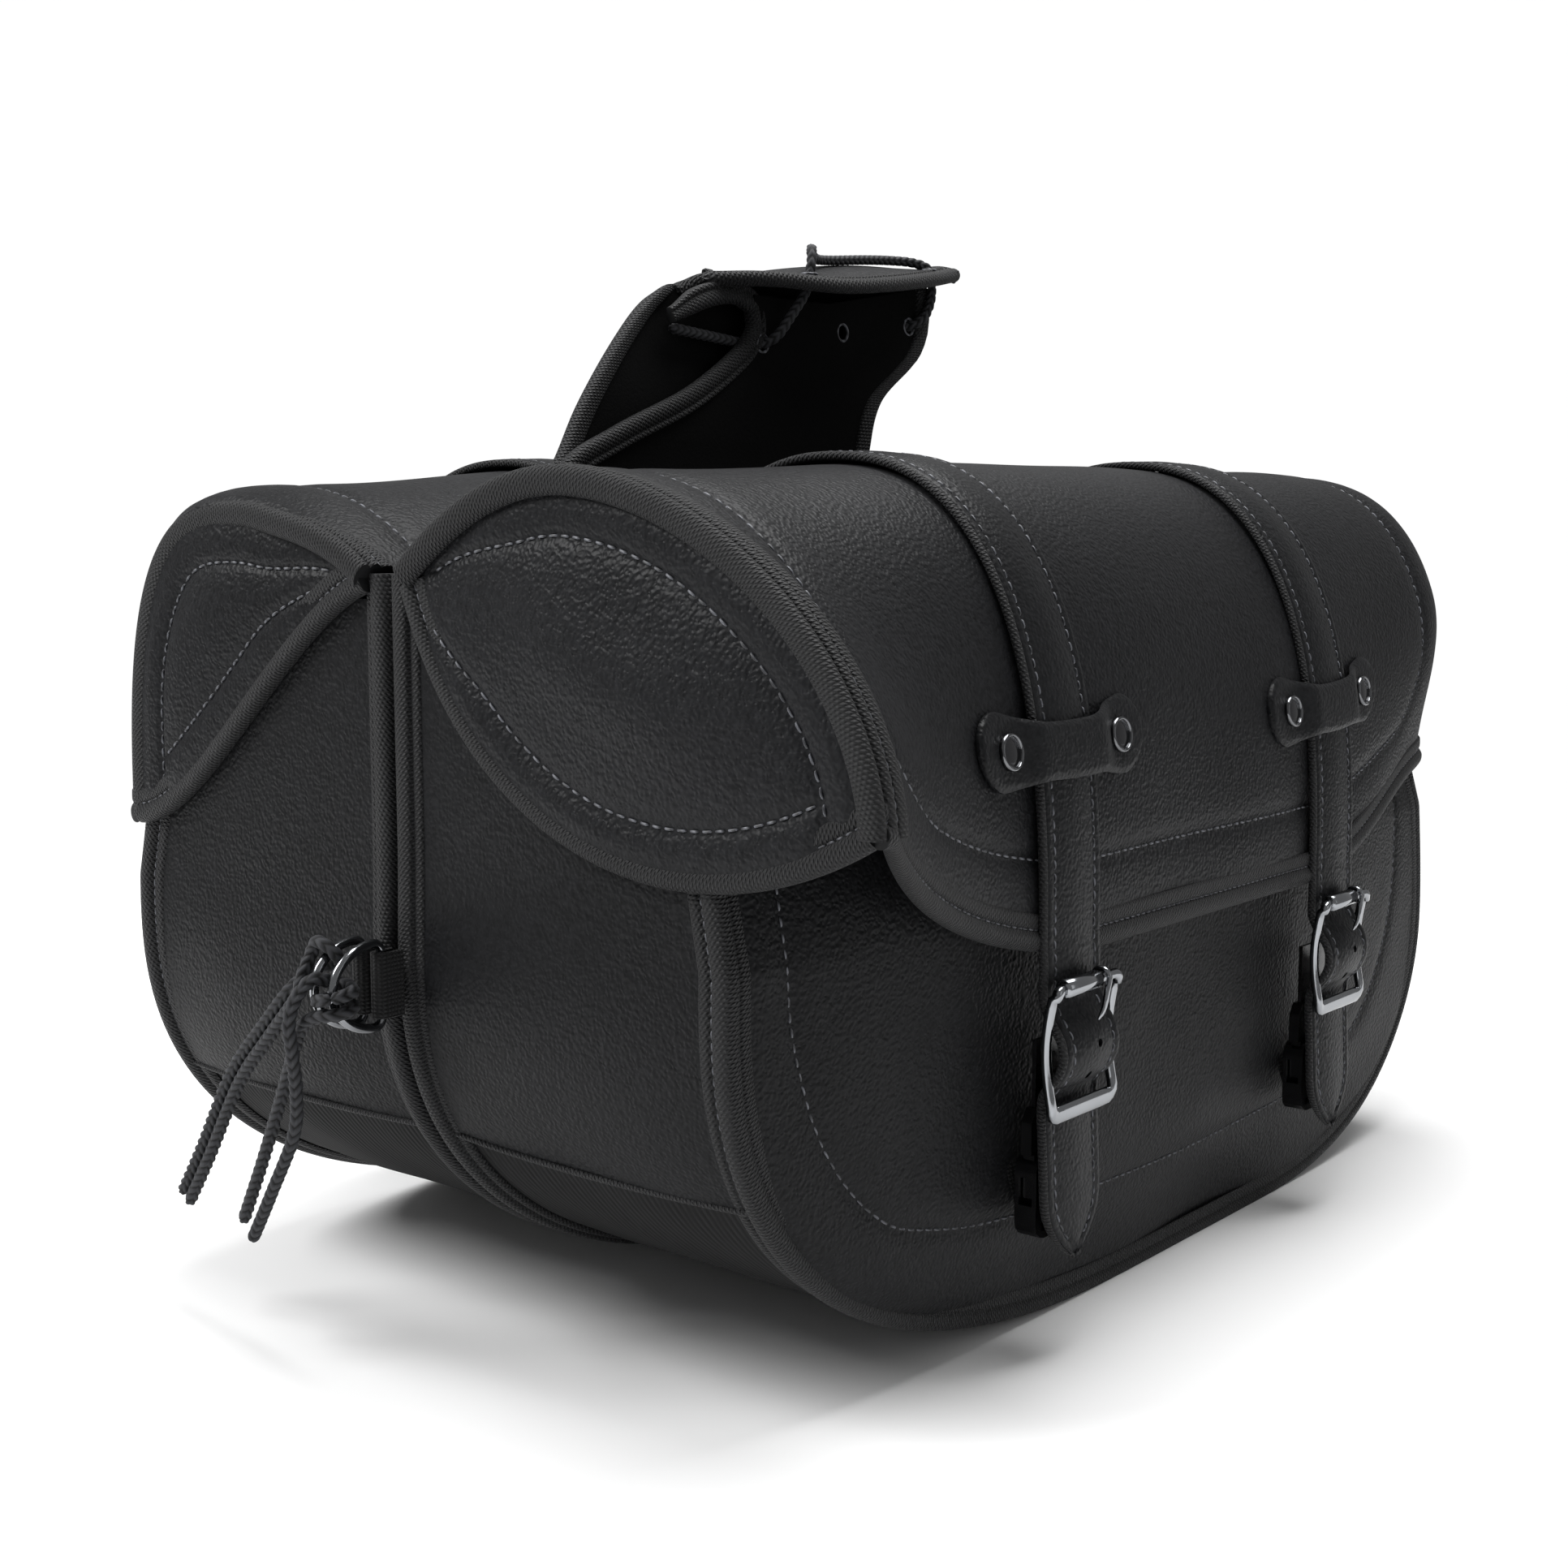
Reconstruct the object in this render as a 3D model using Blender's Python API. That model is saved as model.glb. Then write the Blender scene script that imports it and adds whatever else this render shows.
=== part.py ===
"""A pair of throw-over motorcycle saddlebags, packed back to back, joined by a laced leather yoke.

Metres, +Z up. The origin is on the floor, midway between the two bags.
X runs across the bike: the right bag is at +X, the left bag is its mirror image at -X.
Y runs along the bags: the front end is at -Y, the rear end at +Y.
Lengths below are millimetres; solid() turns them into metres.
"""

from math import cos, pi, radians, sin

import bmesh
import bpy
import numpy as np

MM = 0.001
GAP = 0.35  # clearance left between neighbouring pieces

# Bag body
HALF_LENGTH = 229.0
BACK_X = 3.0  # rear face of the back panel
FRONT_X = 136.5  # outer face of the front panel at its bound edge
PANEL = 3.5  # thickness of the stiffened panels
SKIN = 3.0  # thickness of the leather and canvas walls
BACK_TOP = 246.0
FRONT_TOP = 208.0
GUSSET_TOP = 242.0
FRONT_BULGE = 13.0
BULGE_POWER = 2.2  # how flat the bulge of the front panel is along the bag
BULGE_RISE = 60.0  # height over which the bulge grows from the bottom edge
BULGE_FALL = (150.0, 240.0, 0.85)  # it shrinks between these heights, by this share
TUCK = 10.0  # the upper corners of the front panel are drawn in this much under the lid
TUCK_START_Y = 150.0  # and from here to the ends
TUCK_HEIGHTS = (142.0, 190.0)  # where the drawing in starts, and where it is complete
TUCK_GAP = 1.7  # clearance between gusset and front panel, for the curve of the tucked edge
FRONT_CORNER = (235.0, 142.0)  # length and height of the rounded lower corner at the front end
REAR_CORNER = (150.0, 100.0)  # the same at the rear end
CORNER_POWER = 2.6
BOARD_Z = 14.0  # underside of the stiffening board inside
BOARD = 2.5
BOARD_Y = (-105.0, 150.0)
BOARD_MARGIN = 4.0

# Lid: (crown height, front face x, hem height, fullness) of its section at the middle and the ends
HINGE = (8.0, 250.0)
CROWN_X = 75.0
LID_MIDDLE = (285.5, 160.0, 132.0, 2.55)
LID_END = (277.5, 144.5, 163.0, 2.8)
LID_REAR_END = (285.0, 152.0, 163.0, 2.8)
LID_SPLAYED_END = (280.5, 191.0, 186.0, 1.8)  # the front end of the right lid stands open a little
LID_EDGE_Y = 232.8
BLEND_FROM = 80.0  # the section starts to change this far from the middle
LID_ROUND = 9.0  # a closed end is rounded off by this much
LID_ROUND_LENGTH = 26.0
LID_PINCH = 11.0  # the hem hugs the bag at the rear end
LID_STEPS = 17
CAP = 2.4
CAP_Y = 229.9  # inner face of an end cap
CAP_EDGE = ((50.0, 235.0), (100.0, 165.0))  # control points of a cap's lower edge
CAP_SPLAYED_EDGE = ((35.0, 172.0), (120.0, 146.0))

# Straps, keepers and rivets
STRAP_Y = 94.0
STRAP_WIDTH = 32.0
STRAP = 3.2
STRAP_START_X = 24.0
STRAP_TIP_Z = 33.0
STRAP_POINT = 22.0  # length of the pointed tip
KEEPER_Z = 197.0
KEEPER_LENGTH = 95.0
KEEPER_END_RADIUS = 13.0
KEEPER_NECK = 8.5  # half height over the strap
KEEPER_NECK_LENGTH = 14.0  # the neck starts to widen this far from the middle
KEEPER_CLIMB = 8.0  # length over which the keeper comes down beside the strap
KEEPER = 2.4
RIVET_SPACING = 64.0
RIVET_RADIUS = 5.8
RIVET_HEIGHT = 2.2

# Buckles
BUCKLE_X = 168.2
BUCKLE_TOP = 122.6
BUCKLE_BOTTOM = 83.0
BUCKLE_HALF = 18.3
BUCKLE_WIRE = 1.6
BUCKLE_ARCH = 4.0  # how far the side bars bow towards the bag
BUCKLE_BEND = 3.0  # radius of the upper corners
BUCKLE_FLAT_X = BUCKLE_X - 1.6  # the flat lower bar lies closer to the bag
BUCKLE_FLAT = (3.0, 1.3)  # half height and half thickness of that bar
ROLLER_RADIUS = 3.1
ROLLER_START = 3.6  # clearance of the roller from the side bar
ROLLER_STOP = 3.2  # and from the middle of the prong
PRONG_OFFSET = 8.0
PRONG_WIRE = 1.0
PRONG_LENGTH = 9.0
PRONG_HOOK = 2.95  # radius at which the prong's wire is bent round the top bar
PRONG_WRAP = 250  # degrees

# Side-release clips behind the straps
CLIP_OFFSET = -1.0
CLIP_X = 155.6
CLIP_WIDTH = 28.0
CLIP = 8.0
SOCKET_BOTTOM = 40.0
SOCKET_TOP = 67.0
PLUG_TOP = 82.0
CLIP_WALL = 1.5
CLIP_CORNER = 5.0
CLIP_SLOT = (2.6, 5.2)  # heights of the webbing slot above the bottom of the lower half
CLIP_CAVITY = 8.0  # height of the cavity's floor above the same bottom
CLIP_WINDOW = (11.0, 7.0)  # the side windows keep clear of the bottom and of the top by this much
SNAP_LEAF = 4.5  # width of a snap tongue
GUIDE_HALF = 3.0  # half width of the middle guide
WEBBING_HALF = 10.0
WEBBING = 1.4
CLIP_WEBBING_TOP = 104.0

# D-rings and their webbing loops on the seam of each back panel
RING_X = 4.4
RING_Y = -241.3
RING_Z = 124.0
RING_HALF = 13.2
RING_DEPTH = 19.0
RING_WIRE = 1.5
RING_BEND = 3.0
LOOP_HALF = 10.5
LOOP_START_Y = -230.0

# Yoke
YOKE = 2.0
YOKE_X = 1.4
YOKE_FOOT_Z = 205.0
YOKE_SEAT = 0.6  # the back panels lean in this much where the yoke lies on them
YOKE_COLUMNS = 9
LEFT_YOKE = (  # height, front edge y, rear edge y, x
    (YOKE_FOOT_Z, -188.0, 35.0, -YOKE_X),
    (250.0, -188.0, 30.0, -YOKE_X),
    (283.0, -163.0, 14.0, -2.0),
    (305.0, -148.0, 12.0, -3.0),
    (322.0, -134.0, 30.0, -4.5),
    (338.0, -118.0, 50.0, -5.0),
    (346.0, -104.0, 55.0, -5.0),
)
YOKE_FOLD = (
    (-4.0, -90.0, 349.0),
    (-3.0, -48.0, 356.5),
    (-3.0, -20.0, 360.5),
    (-3.0, 10.0, 363.3),
    (-3.0, 55.0, 365.0),
)
YOKE_EDGE = (
    (2.0, -86.0, 350.0),
    (16.0, -66.0, 351.5),
    (24.0, -35.0, 350.7),
    (24.0, -4.0, 353.8),
    (18.0, 30.0, 358.8),
    (8.0, 61.0, 364.0),
)
RIGHT_YOKE = (
    (YOKE_FOOT_Z, -180.0, 35.0, YOKE_X),
    (250.0, -180.0, 30.0, YOKE_X),
    (283.0, -159.0, 9.0, 2.0),
    (297.0, -134.0, 7.0, 3.0),
    (312.0, -97.0, 12.0, 4.0),
    (326.0, -73.0, 33.0, 4.0),
    (336.0, -64.0, 45.0, 4.0),
    (347.0, -63.0, 47.0, 4.0),
)
HOLE_RADIUS = 4.6
PANEL_HOLES = ((4.0, -58.3, 330.0), (4.0, -11.0, 337.0), (4.0, 31.6, 342.0))
FLAP_HOLES = ((12.0, -40.0, 353.7), (7.0, 42.0, 362.6))

# Cords
TIE_RADIUS = 2.2
LACE_RADIUS = 2.0
LACE = (  # out through the front hole, up over the fold, along it and back in through the rear hole
    (-0.5, -102.0, 333.0),
    (-0.4, -74.0, 330.8),
    (0.2, -65.6, 330.0),
    (2.2, -59.9, 329.8),
    (5.2, -56.6, 330.3),
    (8.9, -54.0, 333.2),
    (11.2, -49.5, 340.0),
    (12.0, -42.5, 348.5),
    (12.0, -40.0, 355.0),
    (12.0, -38.5, 361.0),
    (9.5, -35.5, 365.5),
    (4.5, -28.0, 364.5),
    (0.0, -15.0, 365.0),
    (-1.0, 10.0, 367.5),
    (-0.5, 26.0, 369.0),
    (3.0, 37.5, 369.3),
    (7.0, 42.0, 364.5),
    (8.6, 42.0, 355.0),
    (8.7, 38.0, 347.0),
    (6.6, 33.8, 343.2),
    (3.4, 31.3, 342.0),
    (0.8, 27.2, 341.0),
    (-0.4, 19.0, 339.0),
    (-0.5, 0.0, 336.0),
)
RIGHT_TIE = (  # up one tail, twice round the outer wire of the ring, down the other tail
    (-55.6, -252.0, 37.7),
    (-40.0, -255.0, 62.0),
    (-25.0, -258.0, 86.7),
    (-14.0, -261.0, 104.0),
    (-6.0, -264.0, 113.0),
    (1.5, -264.2, 117.3),
    (8.4, -261.6, 118.6),
    (8.4, -256.0, 119.6),
    (4.4, -254.1, 120.4),
    (-0.1, -258.0, 121.6),
    (1.6, -264.0, 122.4),
    (8.0, -263.8, 123.6),
    (9.2, -256.8, 124.8),
    (4.4, -254.0, 125.6),
    (0.0, -257.6, 127.0),
    (-1.2, -263.4, 128.4),
    (-3.8, -267.8, 122.6),
    (-5.4, -269.2, 115.0),
    (-6.4, -267.6, 106.0),
    (-9.6, -264.0, 90.5),
    (-14.3, -262.0, 76.8),
    (-29.0, -260.0, 55.0),
    (-44.0, -257.0, 35.4),
)
LEFT_TIE = (  # up one tail, once over the upper wire of the ring, down the other tail beside the first
    (-88.5, -250.0, 36.5),
    (-72.9, -252.0, 56.5),
    (-51.0, -255.0, 86.0),
    (-29.0, -258.5, 106.0),
    (-13.0, -261.0, 120.0),
    (-9.8, -260.5, 127.5),
    (-9.0, -257.6, 134.0),
    (-6.3, -257.3, 138.2),
    (-2.0, -257.0, 137.8),
    (0.2, -254.6, 134.2),
    (-1.6, -252.0, 130.6),
    (-6.3, -251.6, 130.0),
    (-10.6, -253.0, 129.6),
    (-14.2, -255.8, 126.4),
    (-18.5, -259.0, 121.8),
    (-32.7, -258.0, 109.0),
    (-54.7, -255.0, 89.0),
    (-76.6, -252.0, 59.4),
    (-92.0, -250.0, 39.4),
)
CORD_POINTS = 80

BLACK_LEATHER = (0.02, 0.02, 0.023)
DARK_FABRIC = (0.012, 0.012, 0.013)
GLOSS_BLACK = (0.01, 0.01, 0.01)
CHROME_GREY = (0.8, 0.8, 0.82)


def clear_scene():
    for item in list(bpy.data.objects):
        bpy.data.objects.remove(item, do_unlink=True)


def material(name, colour, metallic, roughness):
    made = bpy.data.materials.new(name)
    made.use_nodes = True
    shader = made.node_tree.nodes["Principled BSDF"]
    shader.inputs["Base Color"].default_value = (*colour, 1.0)
    shader.inputs["Metallic"].default_value = metallic
    shader.inputs["Roughness"].default_value = roughness
    return made


def solid(name, points, faces, look, side=1, origin=(0.0, 0.0, 0.0)):
    """One closed mesh object. side=-1 mirrors it to the left bag, together with its own origin."""
    points = np.array(points, float)
    centre = np.array(origin, float)
    points[:, 0] *= side
    centre[0] *= side
    if side < 0:
        faces = [tuple(reversed(face)) for face in faces]
    mesh = bpy.data.meshes.new(name)
    mesh.from_pydata([tuple(p) for p in (points - centre) * MM], [], faces)
    mesh.validate()
    shape = bmesh.new()
    shape.from_mesh(mesh)
    bmesh.ops.remove_doubles(shape, verts=shape.verts, dist=0.00001)
    bmesh.ops.recalc_face_normals(shape, faces=shape.faces)
    shape.to_mesh(mesh)
    shape.free()
    made = bpy.data.objects.new(name, mesh)
    made.location = centre * MM
    mesh.materials.append(look)
    bpy.context.scene.collection.objects.link(made)
    return made


def sheet(outer, inner):
    """Points and faces of the closed solid between two grids of the same size."""
    outer = np.asarray(outer, float)
    inner = np.asarray(inner, float)
    rows, columns = outer.shape[:2]
    points = np.concatenate([outer.reshape(-1, 3), inner.reshape(-1, 3)])
    under = rows * columns
    faces = []
    for i in range(rows - 1):
        for j in range(columns - 1):
            a = i * columns + j
            faces.append((a, a + 1, a + columns + 1, a + columns))
            faces.append((a + under + columns, a + under + columns + 1, a + under + 1, a + under))
    rim = [(0, j) for j in range(columns)]
    rim += [(i, columns - 1) for i in range(1, rows)]
    rim += [(rows - 1, j) for j in range(columns - 2, -1, -1)]
    rim += [(i, 0) for i in range(rows - 2, 0, -1)]
    ring = [i * columns + j for i, j in rim]
    for a, b in zip(ring, ring[1:] + ring[:1]):
        faces.append((a, a + under, b + under, b))
    return points, faces


def prism(outline, axis, low, high):
    """Points and faces of a flat outline pushed along an axis. The outline leaves that coordinate out."""
    points = []
    for level in (low, high):
        for pair in outline:
            point = list(pair)
            point.insert(axis, level)
            points.append(point)
    count = len(outline)
    faces = [tuple(range(count)), tuple(range(2 * count - 1, count - 1, -1))]
    for i in range(count):
        j = (i + 1) % count
        faces.append((i, i + count, j + count, j))
    return points, faces


def sweep(path, sizes, sides, closed, across=(0.0, 1.0, 0.0)):
    """Points and faces of an oval section carried along a path. sizes gives the half axes at each point."""
    path = np.asarray(path, float)
    count = len(path)
    ahead = np.roll(path, -1, axis=0) - np.roll(path, 1, axis=0)
    if not closed:
        ahead[0] = path[1] - path[0]
        ahead[-1] = path[-1] - path[-2]
    ahead /= np.linalg.norm(ahead, axis=1)[:, None]
    points = []
    for place, along, (wide, thick) in zip(path, ahead, sizes):
        first = np.cross(along, across)
        first /= np.linalg.norm(first)
        second = np.cross(along, first)
        for k in range(sides):
            turn = 2 * pi * (k + 0.5) / sides
            points.append(place + wide * cos(turn) * first + thick * sin(turn) * second)
    faces = []
    for i in range(count if closed else count - 1):
        for k in range(sides):
            a = i * sides + k
            b = i * sides + (k + 1) % sides
            c = ((i + 1) % count) * sides + (k + 1) % sides
            d = ((i + 1) % count) * sides + k
            faces.append((a, b, c, d))
    if not closed:
        faces.append(tuple(range(sides - 1, -1, -1)))
        faces.append(tuple(range((count - 1) * sides, count * sides)))
    return points, faces


def combine(target, operation, *others):
    """Boolean modifiers on target; the other objects stay in the file as hidden cutters."""
    for other in others:
        other.hide_render = True
        other.display_type = "WIRE"
        step = target.modifiers.new(operation.title(), "BOOLEAN")
        step.object = other
        step.operation = operation
        step.solver = "EXACT"


def smooth(value):
    value = np.clip(value, 0.0, 1.0)
    return value * value * (3 - 2 * value)


def curve_through(points, count):
    """Evenly spaced points on a smooth curve through the given points."""
    points = np.asarray(points, float)
    ends = np.concatenate([[2 * points[0] - points[1]], points, [2 * points[-1] - points[-2]]])
    dense = []
    for before, a, b, after in zip(ends, ends[1:], ends[2:], ends[3:]):
        for t in np.linspace(0, 1, 24, endpoint=False):
            dense.append(
                0.5
                * (
                    2 * a
                    + (b - before) * t
                    + (2 * before - 5 * a + 4 * b - after) * t**2
                    + (3 * a - before - 3 * b + after) * t**3
                )
            )
    dense = np.array(dense + [points[-1]])
    run = np.concatenate([[0], np.cumsum(np.linalg.norm(np.diff(dense, axis=0), axis=1))])
    at = np.linspace(0, run[-1], count)
    return np.stack([np.interp(at, run, dense[:, k]) for k in range(dense.shape[1])], axis=1)


def bottom_of(y):
    """Height of a panel's lower edge at y."""
    for length, height, reach in (
        (*FRONT_CORNER, (-y - HALF_LENGTH + FRONT_CORNER[0]) / FRONT_CORNER[0]),
        (*REAR_CORNER, (y - HALF_LENGTH + REAR_CORNER[0]) / REAR_CORNER[0]),
    ):
        if reach > 0:
            return height * (1 - (1 - min(reach, 1.0) ** CORNER_POWER) ** (1 / CORNER_POWER))
    return 0.0


def corner_columns(count):
    """y of the columns of a panel, closer together in the rounded corners."""
    turn = np.linspace(0, pi / 2, count)
    front = -HALF_LENGTH + FRONT_CORNER[0] * (1 - np.cos(turn))
    rear = HALF_LENGTH - REAR_CORNER[0] * (1 - np.cos(turn[::-1]))
    return np.concatenate([front, np.linspace(front[-1], rear[0], 5)[1:-1], rear])


def panel_grid(face_x, top, rows):
    grid = []
    for y in corner_columns(9):
        grid.append([(face_x(y, z), y, z) for z in np.linspace(bottom_of(y), top, rows)])
    return np.array(grid)


def back_grid(offset):
    """The back panel is flat up to the foot of the yoke and leans in a little above it."""
    flat_top = YOKE_FOOT_Z - 4.0
    lower = panel_grid(lambda y, z: BACK_X + offset, flat_top, 4)
    top = [[(BACK_X + offset + YOKE_SEAT, y, BACK_TOP)] for y in corner_columns(9)]
    return np.concatenate([lower, np.array(top)], axis=1)


def tuck(y, z):
    """How far the body is drawn in at the front of its ends, under the lid."""
    low, high = TUCK_HEIGHTS
    at_end = smooth((abs(y) - TUCK_START_Y) / (HALF_LENGTH - TUCK_START_Y))
    return TUCK * at_end * np.clip((z - low) / (high - low), 0.0, 1.0)


def front_face(y, z):
    """x of the outer face of the stuffed front panel."""
    across = 1 - (abs(y) / (HALF_LENGTH + 0.01)) ** BULGE_POWER
    low, high, share = BULGE_FALL
    up = smooth(z / BULGE_RISE) * (1 - share * smooth((z - low) / (high - low)))
    return FRONT_X + FRONT_BULGE * max(across, 0.0) * up - tuck(y, z)


def lid_section(shape):
    """Evenly spaced points on the outer line of a lid section, from hinge to hem."""
    crown, front, hem, power = shape
    back = [
        (x, crown - (crown - HINGE[1] - 1.5) * ((CROWN_X - x) / (CROWN_X - HINGE[0])) ** 2)
        for x in np.linspace(HINGE[0], CROWN_X, 12)
    ]
    rest = []
    for turn in np.linspace(pi / 2, 0, 40)[1:]:
        x = CROWN_X + (front - CROWN_X) * cos(turn) ** (2 / power)
        z = hem + (crown - hem) * sin(turn) ** (2 / power)
        rest.append((x, z))
    line = np.array(back + rest)
    run = np.concatenate([[0], np.cumsum(np.linalg.norm(np.diff(line, axis=0), axis=1))])
    at = np.linspace(0, run[-1], 201)
    return np.stack([np.interp(at, run, line[:, 0]), np.interp(at, run, line[:, 1])], axis=1)


LID_SHAPES = (LID_MIDDLE, LID_END, LID_REAR_END, LID_SPLAYED_END)
SECTIONS = {shape: lid_section(shape) for shape in LID_SHAPES}


def splayed(side, y):
    return side > 0 and y < 0


def lid_line(side, y):
    """The outer line of the lid's section at y, as 201 (x, z) points."""
    reach = np.clip((abs(y) - BLEND_FROM) / (CAP_Y - 1 - BLEND_FROM), 0.0, 1.0)
    middle, end = SECTIONS[LID_MIDDLE], SECTIONS[LID_REAR_END if y > 0 else LID_END]
    if splayed(side, y):
        return middle + (end - middle) * reach**1.4 + (SECTIONS[LID_SPLAYED_END] - end) * reach**2.4
    line = middle + (end - middle) * smooth(reach)
    share = np.linspace(0.0, 1.0, len(line))
    into_end = np.clip((abs(y) - LID_EDGE_Y) / LID_ROUND_LENGTH + 1, 0.0, 1.0)
    line = offset_line(line, -LID_ROUND * (1 - (1 - into_end**2) ** 0.5) * smooth(share / 0.25))
    if y > 0:
        line[:, 0] -= LID_PINCH * reach**2 * smooth((share - 0.7) / 0.3)
    return line


def offset_line(line, distance):
    """The line moved outward along its own normals, by one distance or one per point."""
    along = np.gradient(line, axis=0)
    along /= np.linalg.norm(along, axis=1)[:, None]
    return line + np.reshape(distance, (-1, 1)) * np.stack([-along[:, 1], along[:, 0]], axis=1)


def lid_grid(side, columns, offset, start=0.0, end=1.0, steps=LID_STEPS):
    """Rows run from hinge to hem, columns along y."""
    at = np.linspace(start, end, steps) * 200
    grid = []
    for y in columns:
        line = offset_line(lid_line(side, y), offset)
        x = np.interp(at, np.arange(201), line[:, 0])
        z = np.interp(at, np.arange(201), line[:, 1])
        grid.append([(a, y, b) for a, b in zip(x, z)])
    return np.swapaxes(np.array(grid), 0, 1)


def lid_fraction(height=None, x=None):
    """The share of the middle section at which it reaches a height in front, or an x behind the crown."""
    line = SECTIONS[LID_MIDDLE]
    if height is not None:
        return np.interp(-height, -line[60:, 1], np.arange(60, 201)) / 200
    return np.interp(x, line[:50, 0], np.arange(50)) / 200


def bezier(start, first, second, end, count):
    t = np.linspace(0, 1, count)[:, None]
    start, first, second, end = (np.array(p, float) for p in (start, first, second, end))
    return (1 - t) ** 3 * start + 3 * (1 - t) ** 2 * t * first + 3 * (1 - t) * t**2 * second + t**3 * end


def build_body(side, word, looks):
    leather, fabric = looks["leather"], looks["fabric"]
    solid(f"back_panel_{word}", *sheet(back_grid(PANEL), back_grid(0.0)), leather, side)

    front = panel_grid(front_face, FRONT_TOP, 8)
    inner = front - np.array((PANEL, 0.0, 0.0))
    solid(f"front_panel_{word}", *sheet(front, inner), leather, side)

    columns = corner_columns(9)
    edge = [(-HALF_LENGTH, GUSSET_TOP), (-HALF_LENGTH, TUCK_HEIGHTS[1])]
    edge += [(y, bottom_of(y)) for y in columns]
    edge += [(HALF_LENGTH, z) for z in (*TUCK_HEIGHTS, GUSSET_TOP)]
    edge = np.array(edge)
    inside = offset_line(edge, SKIN)
    room = FRONT_X - BACK_X - 2 * PANEL - YOKE_SEAT - GAP - TUCK_GAP
    outer, inner = [], []
    for share in (0.0, 0.5, 1.0):
        x = [BACK_X + PANEL + YOKE_SEAT + GAP + share * (room - tuck(y, z)) for y, z in edge]
        outer.append([(a, y, z) for a, (y, z) in zip(x, edge)])
        inner.append([(a, y, z) for a, (y, z) in zip(x, inside)])
    solid(f"gusset_{word}", *sheet(outer, inner), fabric, side)

    back, front = BACK_X + PANEL + BOARD_MARGIN, FRONT_X - PANEL - BOARD_MARGIN
    start, end = BOARD_Y
    board = [(back, start), (front, start), (front, end), (back, end)]
    solid(f"base_board_{word}", *prism(board, 2, BOARD_Z, BOARD_Z + BOARD), fabric, side)


def build_lid(side, word, looks):
    leather = looks["leather"]
    hinge = (HINGE[0], 0.0, HINGE[1])
    half = STRAP_WIDTH / 2
    near = [STRAP_Y - half, STRAP_Y, STRAP_Y + half]
    ends = [128.0, 150.0, 172.0, 190.0, 206.0, 215.0, 222.0, CAP_Y - 1, LID_EDGE_Y]
    columns = [-y for y in reversed(near + ends)] + [-40.0, 0.0, 40.0] + near + ends
    outer = lid_grid(side, columns, 0.0)
    inner = lid_grid(side, columns, -SKIN)
    solid(f"lid_shell_{word}", *sheet(outer, inner), leather, side, hinge)

    for end, sign in (("front", -1), ("rear", 1)):
        arc = lid_grid(side, [sign * LID_EDGE_Y], -SKIN - GAP)[1:, 0, ::2]
        controls = CAP_SPLAYED_EDGE if splayed(side, sign) else CAP_EDGE
        low = bezier((HINGE[0] + 1.5, HINGE[1] - 3.5), *controls, arc[-1], 15)
        outline = list(arc) + list(low[-2::-1])
        faces = sorted((sign * CAP_Y, sign * (CAP_Y + CAP)))
        solid(f"lid_cap_{end}_{word}", *prism(outline, 1, *faces), leather, side, hinge)


def strap_half_width(z):
    """Half width of a strap at a height: pointed at the tip."""
    left = np.clip((z - STRAP_TIP_Z) / STRAP_POINT, 0.0, 1.0)
    return 1.2 + (STRAP_WIDTH / 2 - 1.2) * (1 - (1 - left) ** 2.2)


def tail_line():
    """Centre line of the hanging part of a strap, as (x, z) points: it bows out through the buckle."""
    top = LID_MIDDLE[1] + GAP + STRAP / 2
    turns = [
        (top, LID_MIDDLE[2] - GAP),
        (top, 126.0),
        (top + 0.1, 118.0),
        (top + 2.6, 112.5),
        (top + 6.8, 106.0),
        (top + 7.6, 100.0),
        (top + 5.2, 94.0),
        (top + 0.8, 89.0),
        (top - 0.1, 84.0),
        (top + 0.2, 76.0),
        (top + 1.2, 56.0),
        (top + 2.2, STRAP_TIP_Z),
    ]
    return curve_through(turns, 30)


def build_strap(side, word, place, y, looks):
    leather, chrome, plastic = looks["leather"], looks["chrome"], looks["plastic"]
    half = STRAP_WIDTH / 2
    columns = [y - half, y, y + half]
    start = lid_fraction(x=STRAP_START_X)
    at = np.linspace(0.0, 1.0, LID_STEPS)
    steps = np.concatenate([[start], at[at > start + 0.02]])
    under = []
    over = []
    for step in steps:
        under.append(lid_grid(side, columns, GAP, step, step, 1)[0])
        over.append(lid_grid(side, columns, GAP + STRAP, step, step, 1)[0])
    hinge = (HINGE[0], 0.0, HINGE[1])
    solid(f"strap_upper_{place}_{word}", *sheet(over, under), leather, side, hinge)

    line = tail_line()
    front = offset_line(line, STRAP / 2)
    back = offset_line(line, -STRAP / 2)
    over, under = [], []
    for (x, z), (a, b), (c, d) in zip(line, front, back):
        wide = strap_half_width(z)
        over.append([(a, y - wide, b), (a, y, b), (a, y + wide, b)])
        under.append([(c, y - wide, d), (c, y, d), (c, y + wide, d)])
    swing = (front[0, 0], y, front[0, 1])
    solid(f"strap_tail_{place}_{word}", *sheet(over, under), leather, side, swing)

    build_keeper(side, word, place, y, looks)
    build_buckle(side, word, place, y, chrome, swing)
    build_clip(side, word, place, y + CLIP_OFFSET, plastic)


def keeper_half_height(reach):
    """Dog-bone outline: round ends, narrow neck. reach is the distance from the middle."""
    end = KEEPER_LENGTH / 2 - KEEPER_END_RADIUS
    if reach > end:
        return max((KEEPER_END_RADIUS**2 - (reach - end) ** 2), 4.0) ** 0.5
    widening = smooth((reach - KEEPER_NECK_LENGTH) / (end - KEEPER_NECK_LENGTH))
    return KEEPER_NECK + (KEEPER_END_RADIUS - KEEPER_NECK) * widening


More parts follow.
